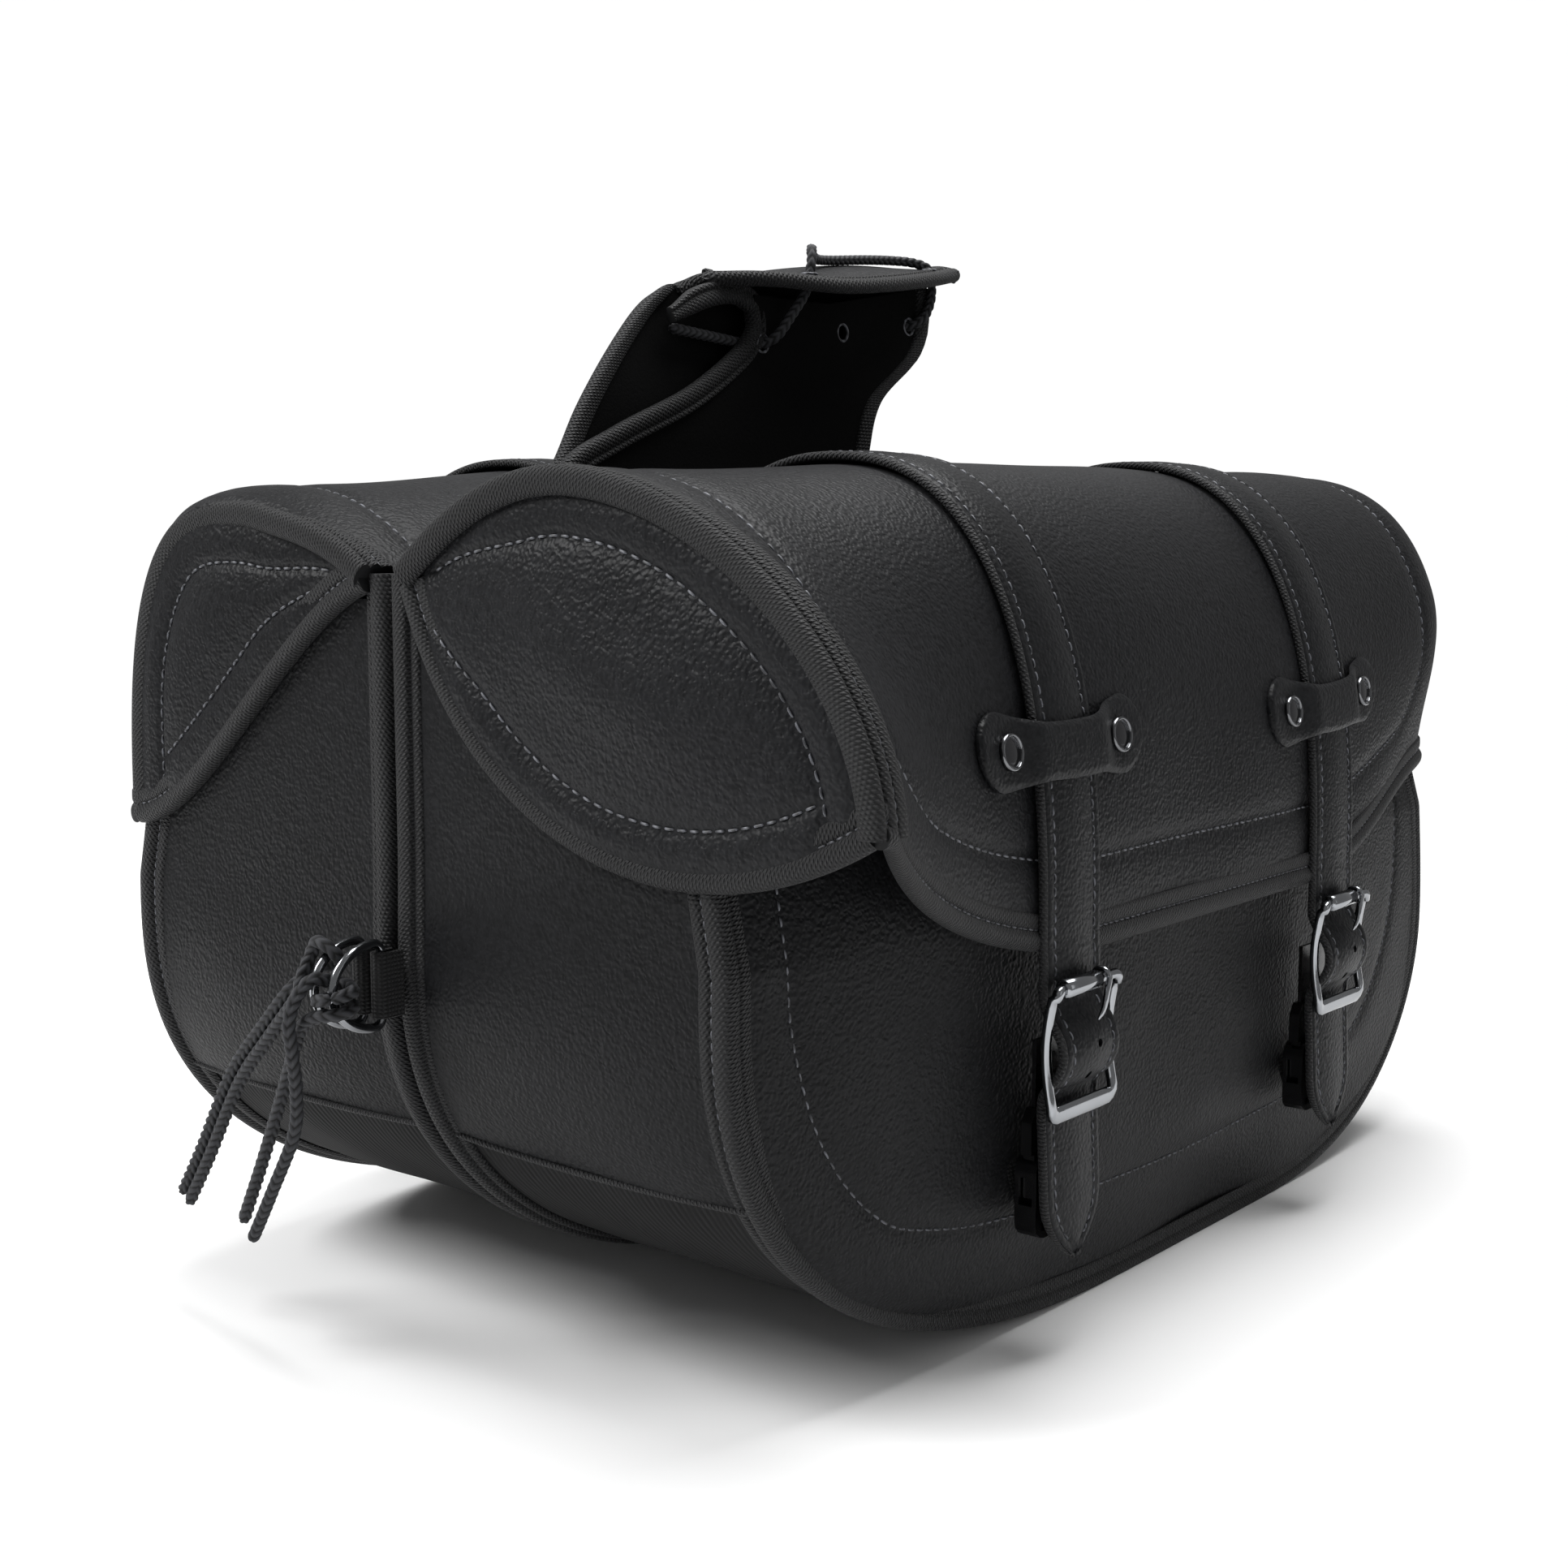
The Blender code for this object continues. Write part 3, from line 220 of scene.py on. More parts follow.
FRONT_BINDING = (
    (-10.6, -0.8), (-10.3, 0.8), (-8.9, 1.5), (-7.0, 1.5), (-5.6, 0.6), (-4.6, 1.8), (-3.0, 2.9),
    (-0.9, 3.1), (1.1, 2.2), (2.2, 0.3), (2.2, -1.7), (1.5, -2.9), (2.1, -3.9), (2.0, -6.6),
    (1.1, -7.6), (-2.4, -5.0),
)
BACK_BINDING = (
    (-0.9, -6.5), (-1.0, -4.2), (-0.4, -3.0), (-1.5, -1.9), (-1.9, 0.4), (-1.1, 2.5), (0.8, 3.6),
    (3.0, 3.7), (4.9, 2.9), (5.7, 1.4), (6.8, 1.7), (8.6, 1.2), (8.9, -0.8), (3.5, -3.5),
)
THIN_BINDING = (
    (6.0, -0.2), (5.7, 1.5), (4.4, 1.9), (3.5, 1.3), (2.4, 2.0), (0.6, 2.5), (-1.2, 2.1), (-2.3, 0.9),
    (-2.5, -0.6), (-1.9, -2.1), (-0.4, -2.9), (1.6, -2.9), (3.4, -2.6), (5.6, -1.8),
)

X_AXIS, Y_AXIS, Z_AXIS, DOWN = (1.0, 0.0, 0.0), (0.0, 1.0, 0.0), (0.0, 0.0, 1.0), (0.0, 0.0, -1.0)
BAGS = ((1, "right"), (-1, "left"))
ENDS = (("front", -1), ("rear", 1))
LINED = ("body", "lining")  # the looks of a leather panel's outer and inner face


# ---------------------------------------------------------------- materials


WAVE = 0.314159  # the period of a wave texture at scale 1, in the unit of its coordinates
CANVAS_CORDS = 2.6
CANVAS_CROSS = 1.8
THREAD_TWIST = 1.7765


def new_material(name, colour, roughness, metallic=0.0):
    made = bpy.data.materials.new(name)
    made.use_nodes = True
    shader = made.node_tree.nodes["Principled BSDF"]
    shader.inputs["Base Color"].default_value = (*colour, 1.0)
    shader.inputs["Roughness"].default_value = roughness
    shader.inputs["Metallic"].default_value = metallic
    return made, shader


def dull(shader, sheen, specular):
    """How much a cloth or leather surface shines."""
    shader.inputs["Sheen Weight"].default_value = sheen
    shader.inputs["Specular IOR Level"].default_value = specular


class Nodes:
    """Short helpers for building one material's node tree."""

    def __init__(self, made, shader):
        self.tree = made.node_tree
        self.shader = shader

    def add(self, kind, **values):
        node = self.tree.nodes.new(kind)
        for key, value in values.items():
            setattr(node, key, value)
        return node

    def link(self, source, target):
        self.tree.links.new(source, target)

    def place(self):
        return self.add("ShaderNodeTexCoord").outputs["Object"]

    def noise(self, vector, scale, detail=3.0, roughness=0.5):
        node = self.add("ShaderNodeTexNoise")
        node.inputs["Scale"].default_value = scale
        node.inputs["Detail"].default_value = detail
        node.inputs["Roughness"].default_value = roughness
        self.link(vector, node.inputs["Vector"])
        return node.outputs["Fac"]

    def cells(self, vector, scale):
        node = self.add("ShaderNodeTexVoronoi", feature="SMOOTH_F1")
        node.inputs["Scale"].default_value = scale
        self.link(vector, node.inputs["Vector"])
        return node.outputs["Distance"]

    def wave(self, vector, scale, direction, distortion=0.0):
        node = self.add("ShaderNodeTexWave", bands_direction=direction)
        node.inputs["Scale"].default_value = scale
        node.inputs["Distortion"].default_value = distortion
        self.link(vector, node.inputs["Vector"])
        return node.outputs["Fac"]

    def turned(self, vector, angle):
        node = self.add("ShaderNodeMapping")
        node.inputs["Rotation"].default_value = (0.0, 0.0, angle)
        self.link(vector, node.inputs["Vector"])
        return node.outputs["Vector"]

    def maths(self, operation, a, b):
        node = self.add("ShaderNodeMath", operation=operation)
        for socket, value in zip(node.inputs, (a, b)):
            if isinstance(value, (int, float)):
                socket.default_value = value
            else:
                self.link(value, socket)
        return node.outputs[0]

    def scaled(self, value, low, high, from_low=0.0, from_high=1.0):
        node = self.add("ShaderNodeMapRange")
        node.inputs["From Min"].default_value = from_low
        node.inputs["From Max"].default_value = from_high
        node.inputs["To Min"].default_value = low
        node.inputs["To Max"].default_value = high
        self.link(value, node.inputs["Value"])
        return node.outputs["Result"]

    def colours(self, value, dark, light):
        node = self.add("ShaderNodeValToRGB")
        node.color_ramp.elements[0].color = (*dark, 1.0)
        node.color_ramp.elements[1].color = (*light, 1.0)
        self.link(value, node.inputs["Fac"])
        self.link(node.outputs["Color"], self.shader.inputs["Base Color"])

    def bump(self, height, distance, strength=1.0, after=None):
        node = self.add("ShaderNodeBump")
        node.inputs["Strength"].default_value = strength
        node.inputs["Distance"].default_value = distance
        self.link(height, node.inputs["Height"])
        if after is not None:
            self.link(after, node.inputs["Normal"])
        self.link(node.outputs["Normal"], self.shader.inputs["Normal"])
        return node.outputs["Normal"]


def leather(name, dark, light, roughness, grain):
    """Fine pebbled grain with soft creases, a slow change of shade and slightly uneven gloss."""
    made, shader = new_material(name, light, roughness)
    n = Nodes(made, shader)
    place = n.place()
    slow = n.noise(place, 9.0, 3.0)
    fine = n.noise(place, 420.0, 2.0)
    shade = n.maths("ADD", n.maths("MULTIPLY", slow, 0.4), n.maths("MULTIPLY", fine, 0.6))
    n.colours(n.scaled(shade, 0.0, 1.0, 0.3, 0.7), dark, light)
    uneven = n.scaled(n.noise(place, 38.0, 2.0), roughness - 0.05, roughness + 0.07)
    n.link(uneven, shader.inputs["Roughness"])
    bent = n.add("ShaderNodeMixRGB", blend_type="ADD")
    bent.inputs["Fac"].default_value = 0.0016
    n.link(place, bent.inputs["Color1"])
    n.link(n.noise(place, 260.0, 2.0), bent.inputs["Color2"])
    pebbles = n.cells(bent.outputs["Color"], 760.0)
    creases = n.bump(n.noise(place, 160.0, 4.0, 0.6), 0.00015, 0.3 * grain)
    n.bump(pebbles, 0.00055, 0.8 * grain, creases)
    shader.inputs["Sheen Weight"].default_value = 0.01
    shader.inputs["Sheen Roughness"].default_value = 0.5
    shader.inputs["Specular IOR Level"].default_value = 0.12
    return made


def woven(name, dark, light, roughness, rib, slant):
    """Woven tape: ribs across the tape and slanted yarns, from the piece's own run coordinates in mm. Its
    colour follows the same relief, as painted shade in the grooves and painted light on the ribs.
    """
    made, shader = new_material(name, light, roughness)
    n = Nodes(made, shader)
    run = n.add("ShaderNodeUVMap", uv_map="run").outputs["UV"]
    ribs = n.wave(run, WAVE / rib, "X")
    yarns = n.wave(n.turned(run, slant), WAVE / rib, "Y")
    weave_relief = n.maths("MULTIPLY", ribs, yarns)
    wear = n.scaled(n.noise(n.place(), 55.0), 0.0, 0.4)
    # Colour from the weave's relief is painted shade in its grooves and painted light on its ribs; the wear
    # noise added on top is a random tone.
    n.colours(n.maths("ADD", n.maths("MULTIPLY", weave_relief, 0.75), wear), dark, light)
    n.bump(weave_relief, 0.0008, 1.0)
    dull(shader, 0.03, 0.25)
    return made


def canvas(name, dark, light):
    """Ribbed canvas: fine cords side by side across the bag, with a faint cross thread."""
    made, shader = new_material(name, light, 0.8)
    n = Nodes(made, shader)
    place = n.place()
    cords = n.wave(place, WAVE / (CANVAS_CORDS * MM), "X", 0.4)
    cross = n.wave(place, WAVE / (CANVAS_CROSS * MM), "DIAGONAL")
    mix = n.maths("ADD", n.maths("MULTIPLY", cords, 0.7), n.maths("MULTIPLY", cross, 0.3))
    n.colours(n.maths("MULTIPLY", mix, n.scaled(n.noise(place, 40.0), 0.7, 1.1)), dark, light)
    n.bump(mix, 0.0004, 0.7)
    shader.inputs["Specular IOR Level"].default_value = 0.2
    return made


def suede(name, dark, light):
    """Matt napped leather, as on the flesh side of the yoke."""
    made, shader = new_material(name, light, 0.95)
    n = Nodes(made, shader)
    place = n.place()
    nap = n.noise(place, 900.0, 3.0, 0.7)
    wear = n.scaled(n.noise(place, 30.0), 0.0, 0.4)
    n.colours(n.maths("ADD", n.maths("MULTIPLY", nap, 0.6), wear), dark, light)
    n.bump(nap, 0.0004, 0.6)
    shader.inputs["Specular IOR Level"].default_value = 0.1
    return made


def thread(name, dark, light):
    made, shader = new_material(name, light, 0.55)
    n = Nodes(made, shader)
    twist = n.wave(n.place(), WAVE / (THREAD_TWIST * MM), "DIAGONAL")
    n.colours(twist, dark, light)
    n.bump(twist, 0.00015, 0.5)
    return made


def polished(name, colour):
    """Chrome plate with faint hand marks."""
    made, shader = new_material(name, colour, 0.1, 1.0)
    n = Nodes(made, shader)
    place = n.place()
    n.link(n.scaled(n.noise(place, 240.0, 4.0), 0.06, 0.2), shader.inputs["Roughness"])
    n.colours(n.noise(place, 60.0), tuple(0.82 * c for c in colour), colour)
    n.bump(n.noise(place, 180.0, 2.0), 0.0003, 0.12)
    return made


def moulded(name, colour):
    """Glossy black plastic with a faint moulding texture."""
    made, shader = new_material(name, colour, 0.16)
    n = Nodes(made, shader)
    place = n.place()
    n.link(n.scaled(n.noise(place, 300.0, 3.0), 0.12, 0.26), shader.inputs["Roughness"])
    n.colours(n.noise(place, 90.0), tuple(0.7 * c for c in colour), colour)
    n.bump(n.noise(place, 500.0, 2.0), 0.0001, 0.25)
    return made


def braid(name, dark, light):
    made, shader = new_material(name, light, 0.7)
    n = Nodes(made, shader)
    run = n.add("ShaderNodeSeparateXYZ")
    n.link(n.add("ShaderNodeUVMap", uv_map="run").outputs["UV"], run.inputs["Vector"])
    fold = n.maths("PINGPONG", n.maths("MULTIPLY", run.outputs["Y"], BRAID_STRANDS), 0.5)
    phase = n.maths("SUBTRACT", run.outputs["X"], n.maths("MULTIPLY", fold, 2 * BRAID_SLANT))
    plump = n.maths("ABSOLUTE", n.maths("SINE", n.maths("MULTIPLY", phase, pi), 0.0), 0.0)
    # Colour follows the braid's relief, as painted shade in the furrows between strands and painted light on
    # their crests, times a random tone.
    strand_light_and_shade = n.maths("MULTIPLY", n.maths("POWER", plump, 1.4), n.scaled(n.noise(n.place(), 900.0), 0.8, 1.1))
    n.colours(strand_light_and_shade, dark, light)
    n.bump(n.noise(n.place(), 1500.0), 0.0002, 0.5)
    dull(shader, 0.03, 0.25)
    return made


LOOKS = {
    # The lid and the body are one black leather in a lit and a shaded copy: the lid's lighter colour is
    # painted light on the upward lid, and the body's darker colour is painted shade on the bag's sides below
    # it.
    "lid": leather("leather_lid_painted_light", (0.0032, 0.0033, 0.0038), (0.0125, 0.0128, 0.0142), 0.45, 1.0),
    "body": leather("leather_body_painted_shade", (0.0018, 0.0019, 0.0022), (0.0082, 0.0084, 0.0094), 0.5, 1.0),
    "strap": leather("leather_strap", (0.0036, 0.0038, 0.0043), (0.012, 0.0123, 0.0135), 0.42, 0.8),
    "lining": canvas("lining_cloth", (0.002, 0.002, 0.0022), (0.007, 0.007, 0.0074)),
    "canvas": canvas("ribbed_canvas", (0.0012, 0.0012, 0.0013), (0.0078, 0.0078, 0.0083)),
    # The binding's and the webbing's dark and light are painted shade in the weave's grooves and painted
    # light on its ribs.
    "binding": woven(
        "binding_tape", (0.0006, 0.0006, 0.0008), (0.021, 0.0214, 0.0232), 0.6, 1.3, radians(40)
    ),
    "webbing": woven(
        "webbing", (0.001, 0.001, 0.0012), (0.0105, 0.0106, 0.0116), 0.7, 1.3, radians(0)
    ),
    "suede": suede("suede", (0.0008, 0.0008, 0.0008), (0.0032, 0.0032, 0.0034)),
    "thread": thread("thread", (0.02, 0.0208, 0.024), (0.11, 0.114, 0.13)),
    "chrome": polished("chrome_plate", (0.3, 0.31, 0.325)),
    "rivet_rim": polished("rivet_rim", (0.15, 0.153, 0.16)),
    "dark_metal": polished("dark_metal", (0.085, 0.085, 0.09)),
    "plastic": moulded("gloss_plastic", (0.0035, 0.0035, 0.004)),
    # The cord's dark and light are painted shade in the braid's furrows and painted light on its crests.
    "cord": braid("cord_braid", (0.0004, 0.0004, 0.0005), (0.036, 0.037, 0.0412)),
}


# ---------------------------------------------------------------- shapes


class Shape:
    """Points, quads and, where the material needs them, run coordinates for each face corner."""

    def __init__(self, points, faces, run=None, marks=None):
        self.points = np.asarray(points, float).reshape(-1, 3)
        self.faces = faces
        self.run = run
        self.marks = marks


def joined(shapes):
    """Several shapes as one."""
    points, faces, run, marks = [], [], [], []
    start = 0
    for shape in shapes:
        points.append(shape.points)
        faces += [tuple(i + start for i in face) for face in shape.faces]
        if shape.run is not None:
            run += shape.run
        marks += shape.marks or [0] * len(shape.faces)
        start += len(shape.points)
    return Shape(np.concatenate(points), faces, run if run else None, marks)


def piece(name, shape, looks, body, side=1, nodes=(), sharp=50):
    """A mesh object in metres that rides on a CAD body and may stand for CAD nodes."""
    points = shape.points * MM
    faces = shape.faces
    run = shape.run
    if side < 0:
        points = points * (-1, 1, 1)
        faces = [tuple(reversed(face)) for face in faces]
        run = None if run is None else [tuple(reversed(corner)) for corner in run]
    mesh = bpy.data.meshes.new(name)
    mesh.from_pydata(points.tolist(), [], faces)
    if run is not None:
        layer = mesh.uv_layers.new(name="run")
        corners = np.array([uv for corner in run for uv in corner], np.float32)
        layer.data.foreach_set("uv", corners.ravel())
    for look in looks if isinstance(looks, (list, tuple)) else [looks]:
        mesh.materials.append(LOOKS[look])
    if shape.marks is not None:
        mesh.polygons.foreach_set("material_index", shape.marks)
    work = bmesh.new()
    work.from_mesh(mesh)
    bmesh.ops.remove_doubles(work, verts=work.verts, dist=0.000004)
    bmesh.ops.recalc_face_normals(work, faces=work.faces)
    work.to_mesh(mesh)
    work.free()
    mesh.shade_smooth()
    mesh.set_sharp_from_angle(angle=radians(sharp))
    made = bpy.data.objects.new(name, mesh)
    bpy.context.scene.collection.objects.link(made)
    if body is not None:
        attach(made, body)
    if nodes:
        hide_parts(*nodes)
    return made


def tape(name, path, inward, out, profile, body, side, sizes=None):
    """Woven tape folded over an edge: a section given as (inward, outward) points, carried along the edge."""
    shape = ribbon(path, inward, out, rounded_profile(profile), sizes=sizes)
    piece(name, shape, "binding", body, side)


def grid_faces(rows, columns, start=0):
    i, j = np.meshgrid(np.arange(rows - 1), np.arange(columns - 1), indexing="ij")
    a = (i * columns + j + start).ravel()
    return np.stack([a, a + 1, a + columns + 1, a + columns], axis=1)


def sheet(outer, inner):
    """The closed solid between two grids of the same size. The inner face has mark 1."""
    outer = np.asarray(outer, float)
    rows, columns = outer.shape[:2]
    under = rows * columns
    top = grid_faces(rows, columns)
    low = grid_faces(rows, columns, under)[:, ::-1]
    rim = [(0, j) for j in range(columns)]
    rim += [(i, columns - 1) for i in range(1, rows)]
    rim += [(rows - 1, j) for j in range(columns - 2, -1, -1)]
    rim += [(i, 0) for i in range(rows - 2, 0, -1)]
    ring = np.array([i * columns + j for i, j in rim])
    onward = np.roll(ring, -1)
    sides = np.stack([ring, ring + under, onward + under, onward], axis=1)
    faces = [tuple(face) for face in np.concatenate([top, low, sides]).tolist()]
    marks = [0] * len(top) + [1] * len(low) + [0] * len(sides)
    points = np.concatenate([outer.reshape(-1, 3), np.asarray(inner, float).reshape(-1, 3)])
    return Shape(points, faces, None, marks)


def unit(vectors):
    vectors = np.asarray(vectors, float)
    return vectors / np.maximum(np.linalg.norm(vectors, axis=-1, keepdims=True), 1e-9)


def run_along(path):
    return np.concatenate([[0], np.cumsum(np.linalg.norm(np.diff(path, axis=0), axis=1))])


def tube_faces(rings, sides, closed=False):
    """The quads of a tube whose rings have the same number of points."""
    faces = []
    for i in range(rings if closed else rings - 1):
        j = (i + 1) % rings
        for k in range(sides):
            m = (k + 1) % sides
            faces.append((i * sides + k, i * sides + m, j * sides + m, j * sides + k))
    return faces


def ribbon(path, across, up, profile, closed=False, sizes=None):
    """A closed section of (across, up) points carried along a path. Run coordinates are millimetres."""
    path, across, up = (np.asarray(a, float) for a in (path, across, up))
    across = np.broadcast_to(across, path.shape)
    up = np.broadcast_to(up, path.shape)
    profile = np.asarray(profile, float)
    count, sides = len(path), len(profile)
    scale = np.ones(count) if sizes is None else np.asarray(sizes, float)
    section = profile[None, :, :1] * across[:, None] + profile[None, :, 1:] * up[:, None]
    points = path[:, None] + scale[:, None, None] * section
    length = run_along(path)
    if closed:
        length = np.append(length, length[-1] + np.linalg.norm(path[0] - path[-1]))
    round_it = run_along(np.concatenate([profile, profile[:1]]))
    faces, run = tube_faces(count, sides, closed), []
    for u, w in zip(length, length[1:]):
        for a, b in zip(round_it, round_it[1:]):
            run.append(((u, a), (u, b), (w, b), (w, a)))
    if not closed:
        for start, order in ((0, 1), ((count - 1) * sides, -1)):
            faces.append(tuple(range(start, start + sides))[::order])
            run.append(tuple((0.0, 0.0) for _ in range(sides)))
    return Shape(points.reshape(-1, 3), faces, run)


def curve_points(before, a, b, after, cuts):
    """Points from a towards b on the smooth curve that passes through all four points."""
    t = np.linspace(0, 1, cuts, endpoint=False)[:, None]
    second = (2 * before - 5 * a + 4 * b - after) * t**2
    third = (3 * a - before - 3 * b + after) * t**3
    return 0.5 * (2 * a + (b - before) * t + second + third)


def rounded_profile(profile, cuts=3):
    """A section's points joined by a smooth closed curve."""
    points = np.asarray(profile, float)
    before, onward, after = (np.roll(points, shift, 0) for shift in (1, -1, -2))
    return np.concatenate([curve_points(*four, cuts) for four in zip(before, points, onward, after)])


def circle(radius, sides):
    turns = 2 * pi * (np.arange(sides) + 0.5) / sides
    return np.stack([radius * np.cos(turns), radius * np.sin(turns)], axis=1)


def frames(path):
    """Two unit vectors across a path, kept as steady as possible along it."""
    ahead = unit(np.gradient(path, axis=0))
    first = np.zeros_like(ahead)
    last = np.array(Y_AXIS)
    for i, along in enumerate(ahead):
        last = last - (last @ along) * along
        last /= np.linalg.norm(last)
        first[i] = last
    return first, np.cross(ahead, first)


def smooth(value):
    value = np.clip(value, 0.0, 1.0)
    return value * value * (3 - 2 * value)


def curve_through(points, count):
    """Evenly spaced points on a smooth curve through the given points."""
    points = np.asarray(points, float)
    ends = np.concatenate([[2 * points[0] - points[1]], points, [2 * points[-1] - points[-2]]])
    dense = [curve_points(*four, 24) for four in zip(ends, ends[1:], ends[2:], ends[3:])]
    return spaced(np.concatenate([*dense, points[-1:]]), count)


def spaced(line, count):
    run = run_along(line)
    at = np.linspace(0, run[-1], count)
    return np.stack([np.interp(at, run, line[:, k]) for k in range(line.shape[1])], axis=1)


def bezier(start, first, second, end, count):
    t = np.linspace(0, 1, count)[:, None]
    start, first, second, end = (np.array(p, float) for p in (start, first, second, end))
    return (1 - t) ** 3 * start + 3 * (1 - t) ** 2 * t * first + 3 * (1 - t) * t**2 * second + t**3 * end


def distance_to(points, line):
    """Distance from each 2-D point to a polyline."""
    points = np.asarray(points, float).reshape(-1, 2)
    best = np.full(len(points), 1e9)
    for a, b in zip(line[:-1], line[1:]):
        along = b - a
        t = np.clip(((points - a) @ along) / max(along @ along, 1e-9), 0, 1)
        best = np.minimum(best, np.linalg.norm(points - a - t[:, None] * along, axis=1))
    return best


def ripple(points, size, seed, waves=7):
    """A slow, smooth unevenness between about -1 and 1, always the same for the same seed."""
    draw = np.random.default_rng(seed)
    total = np.zeros(points.shape[:-1])
    for _ in range(waves):
        direction = unit(draw.normal(size=points.shape[-1]))
        pitch = 2 * pi / size * draw.uniform(0.6, 1.6)
        total += np.sin(points @ direction * pitch + draw.uniform(0, 2 * pi))
    return total / waves**0.5


def seam_dip(distance):
    """How deep leather is drawn in beside a line of stitches."""
    return -0.85 * np.exp(-((distance / 1.5) ** 2)) - 0.75 * np.exp(-((distance / 5.5) ** 2))


def stitches(path, normals, pitch=STITCH_PITCH, length=STITCH_LENGTH, radius=STITCH_RADIUS, sink=0.1):
    """A row of separate stitches along a path on a surface."""
    path, normals = np.asarray(path, float), np.asarray(normals, float)
    run = run_along(path)
    centres = np.arange(pitch / 2, run[-1] - pitch / 2, pitch)
    shapes = []
    for centre in centres:
        at = centre + length * np.array([-0.5, -0.42, -0.2, 0.2, 0.42, 0.5])
        line = np.stack([np.interp(at, run, path[:, k]) for k in range(3)], axis=1)
        up = unit([np.interp(centre, run, normals[:, k]) for k in range(3)])
        line += up * (np.array([-0.9, -0.35, 0.1, 0.1, -0.35, -0.9]) * radius - sink)[:, None]
        across = unit(np.cross(up, line[-1] - line[0]))
        shapes.append(ribbon(line, across, up, circle(radius, 6), sizes=(0.45, 0.85, 1.0, 1.0, 0.85, 0.45)))
    for shape in shapes:
        shape.run = None
    return joined(shapes)


# ---------------------------------------------------------------- outlines shared with the CAD


def bottom_of(y):
    for towards_end, (length, height) in ((-y, FRONT_CORNER), (y, REAR_CORNER)):
        reach = (towards_end - HALF_LENGTH + length) / length
        if reach > 0:
            return height * (1 - (1 - min(reach, 1.0) ** CORNER_POWER) ** (1 / CORNER_POWER))
    return 0.0


def corner_columns(count):
    turn = np.linspace(0, pi / 2, count)
    front = -HALF_LENGTH + FRONT_CORNER[0] * (1 - np.cos(turn))
    rear = HALF_LENGTH - REAR_CORNER[0] * (1 - np.cos(turn[::-1]))
    return np.concatenate([front, np.linspace(front[-1], rear[0], count // 2)[1:-1], rear])


def tuck(y, z):
    low, high = TUCK_HEIGHTS
    at_end = smooth((np.abs(y) - TUCK_START_Y) / (HALF_LENGTH - TUCK_START_Y))
    return TUCK * at_end * np.clip((z - low) / (high - low), 0.0, 1.0)


def front_face(y, z):
    across = 1 - (np.abs(y) / (HALF_LENGTH + 0.01)) ** BULGE_POWER
    start, over = BULGE_FALL
    up = smooth(z / BULGE_RISE) * (1 - 0.85 * smooth((z - start) / over))
    return FRONT_X + FRONT_BULGE * np.maximum(across, 0.0) * up - tuck(y, z)


def bowed(y, z):
    """y of a point of the body once the ends bow out over their stuffing."""
    low, high = BOW_HEIGHTS
    out = np.sin(pi * np.clip((z - low) / (high - low), 0.0, 1.0)) ** 1.5
    return y * (1 + np.where(y < 0, FRONT_BOW, REAR_BOW) * out * (np.abs(y) / HALF_LENGTH) ** 4)


def body_edge(front_top, rear_top, count=420):
    """A side panel's outline as evenly spaced (y, z) points, from the front top round to the rear top."""
    columns = corner_columns(60)
    edge = [(-HALF_LENGTH, z) for z in np.linspace(front_top, FRONT_CORNER[1] + 4, 24)]
    edge += [(y, bottom_of(y)) for y in columns]
    edge += [(HALF_LENGTH, z) for z in np.linspace(REAR_CORNER[1] + 4, rear_top, 30)]
    y, z = np.array(edge).T
    return spaced(np.stack([bowed(y, z), z], axis=1), count)


def outward_of(edge):
    along = unit(np.gradient(edge, axis=0))
    return np.stack([along[:, 1], -along[:, 0]], axis=1)


def lid_section(shape):
    crown, front, hem, power = shape
    back = [
        (x, crown - (crown - HINGE[1] - 1.5) * ((CROWN_X - x) / (CROWN_X - HINGE[0])) ** 2)
        for x in np.linspace(HINGE[0], CROWN_X, 12)
    ]
    rest = []
    for turn in np.linspace(pi / 2, 0, 40)[1:]:
        x = CROWN_X + (front - CROWN_X) * cos(turn) ** (2 / power)
        z = hem + (crown - hem) * sin(turn) ** (2 / power)
        rest.append((x, z))
    return spaced(np.array(back + rest), 201)


LID_SHAPES = (LID_MIDDLE, LID_END, LID_REAR_END, LID_SPLAYED_END)
SECTIONS = {shape: lid_section(shape) for shape in LID_SHAPES}
LID_SPAN = run_along(SECTIONS[LID_MIDDLE])[-1]


def splayed(side, y):
    return side > 0 and y < 0


def lid_line(side, y):
    reach = np.clip((abs(y) - BLEND_FROM) / (CAP_Y - 1 - BLEND_FROM), 0.0, 1.0)
    middle, end = SECTIONS[LID_MIDDLE], SECTIONS[LID_REAR_END if y > 0 else LID_END]
    if splayed(side, y):
        return middle + (end - middle) * reach**1.4 + (SECTIONS[LID_SPLAYED_END] - end) * reach**2.4
    line = middle + (end - middle) * smooth(reach)
    share = np.linspace(0.0, 1.0, len(line))
    into_end = np.clip((abs(y) - LID_EDGE_Y) / LID_ROUND_LENGTH + 1, 0.0, 1.0)
    along = unit(np.gradient(line, axis=0))
    drawn_in = LID_ROUND * (1 - (1 - into_end**2) ** 0.5) * smooth(share / 0.25)
    line = line - drawn_in[:, None] * np.stack([-along[:, 1], along[:, 0]], axis=1)
    if y > 0:
        line[:, 0] -= LID_PINCH * reach**2 * smooth((share - 0.7) / 0.3)
    return line


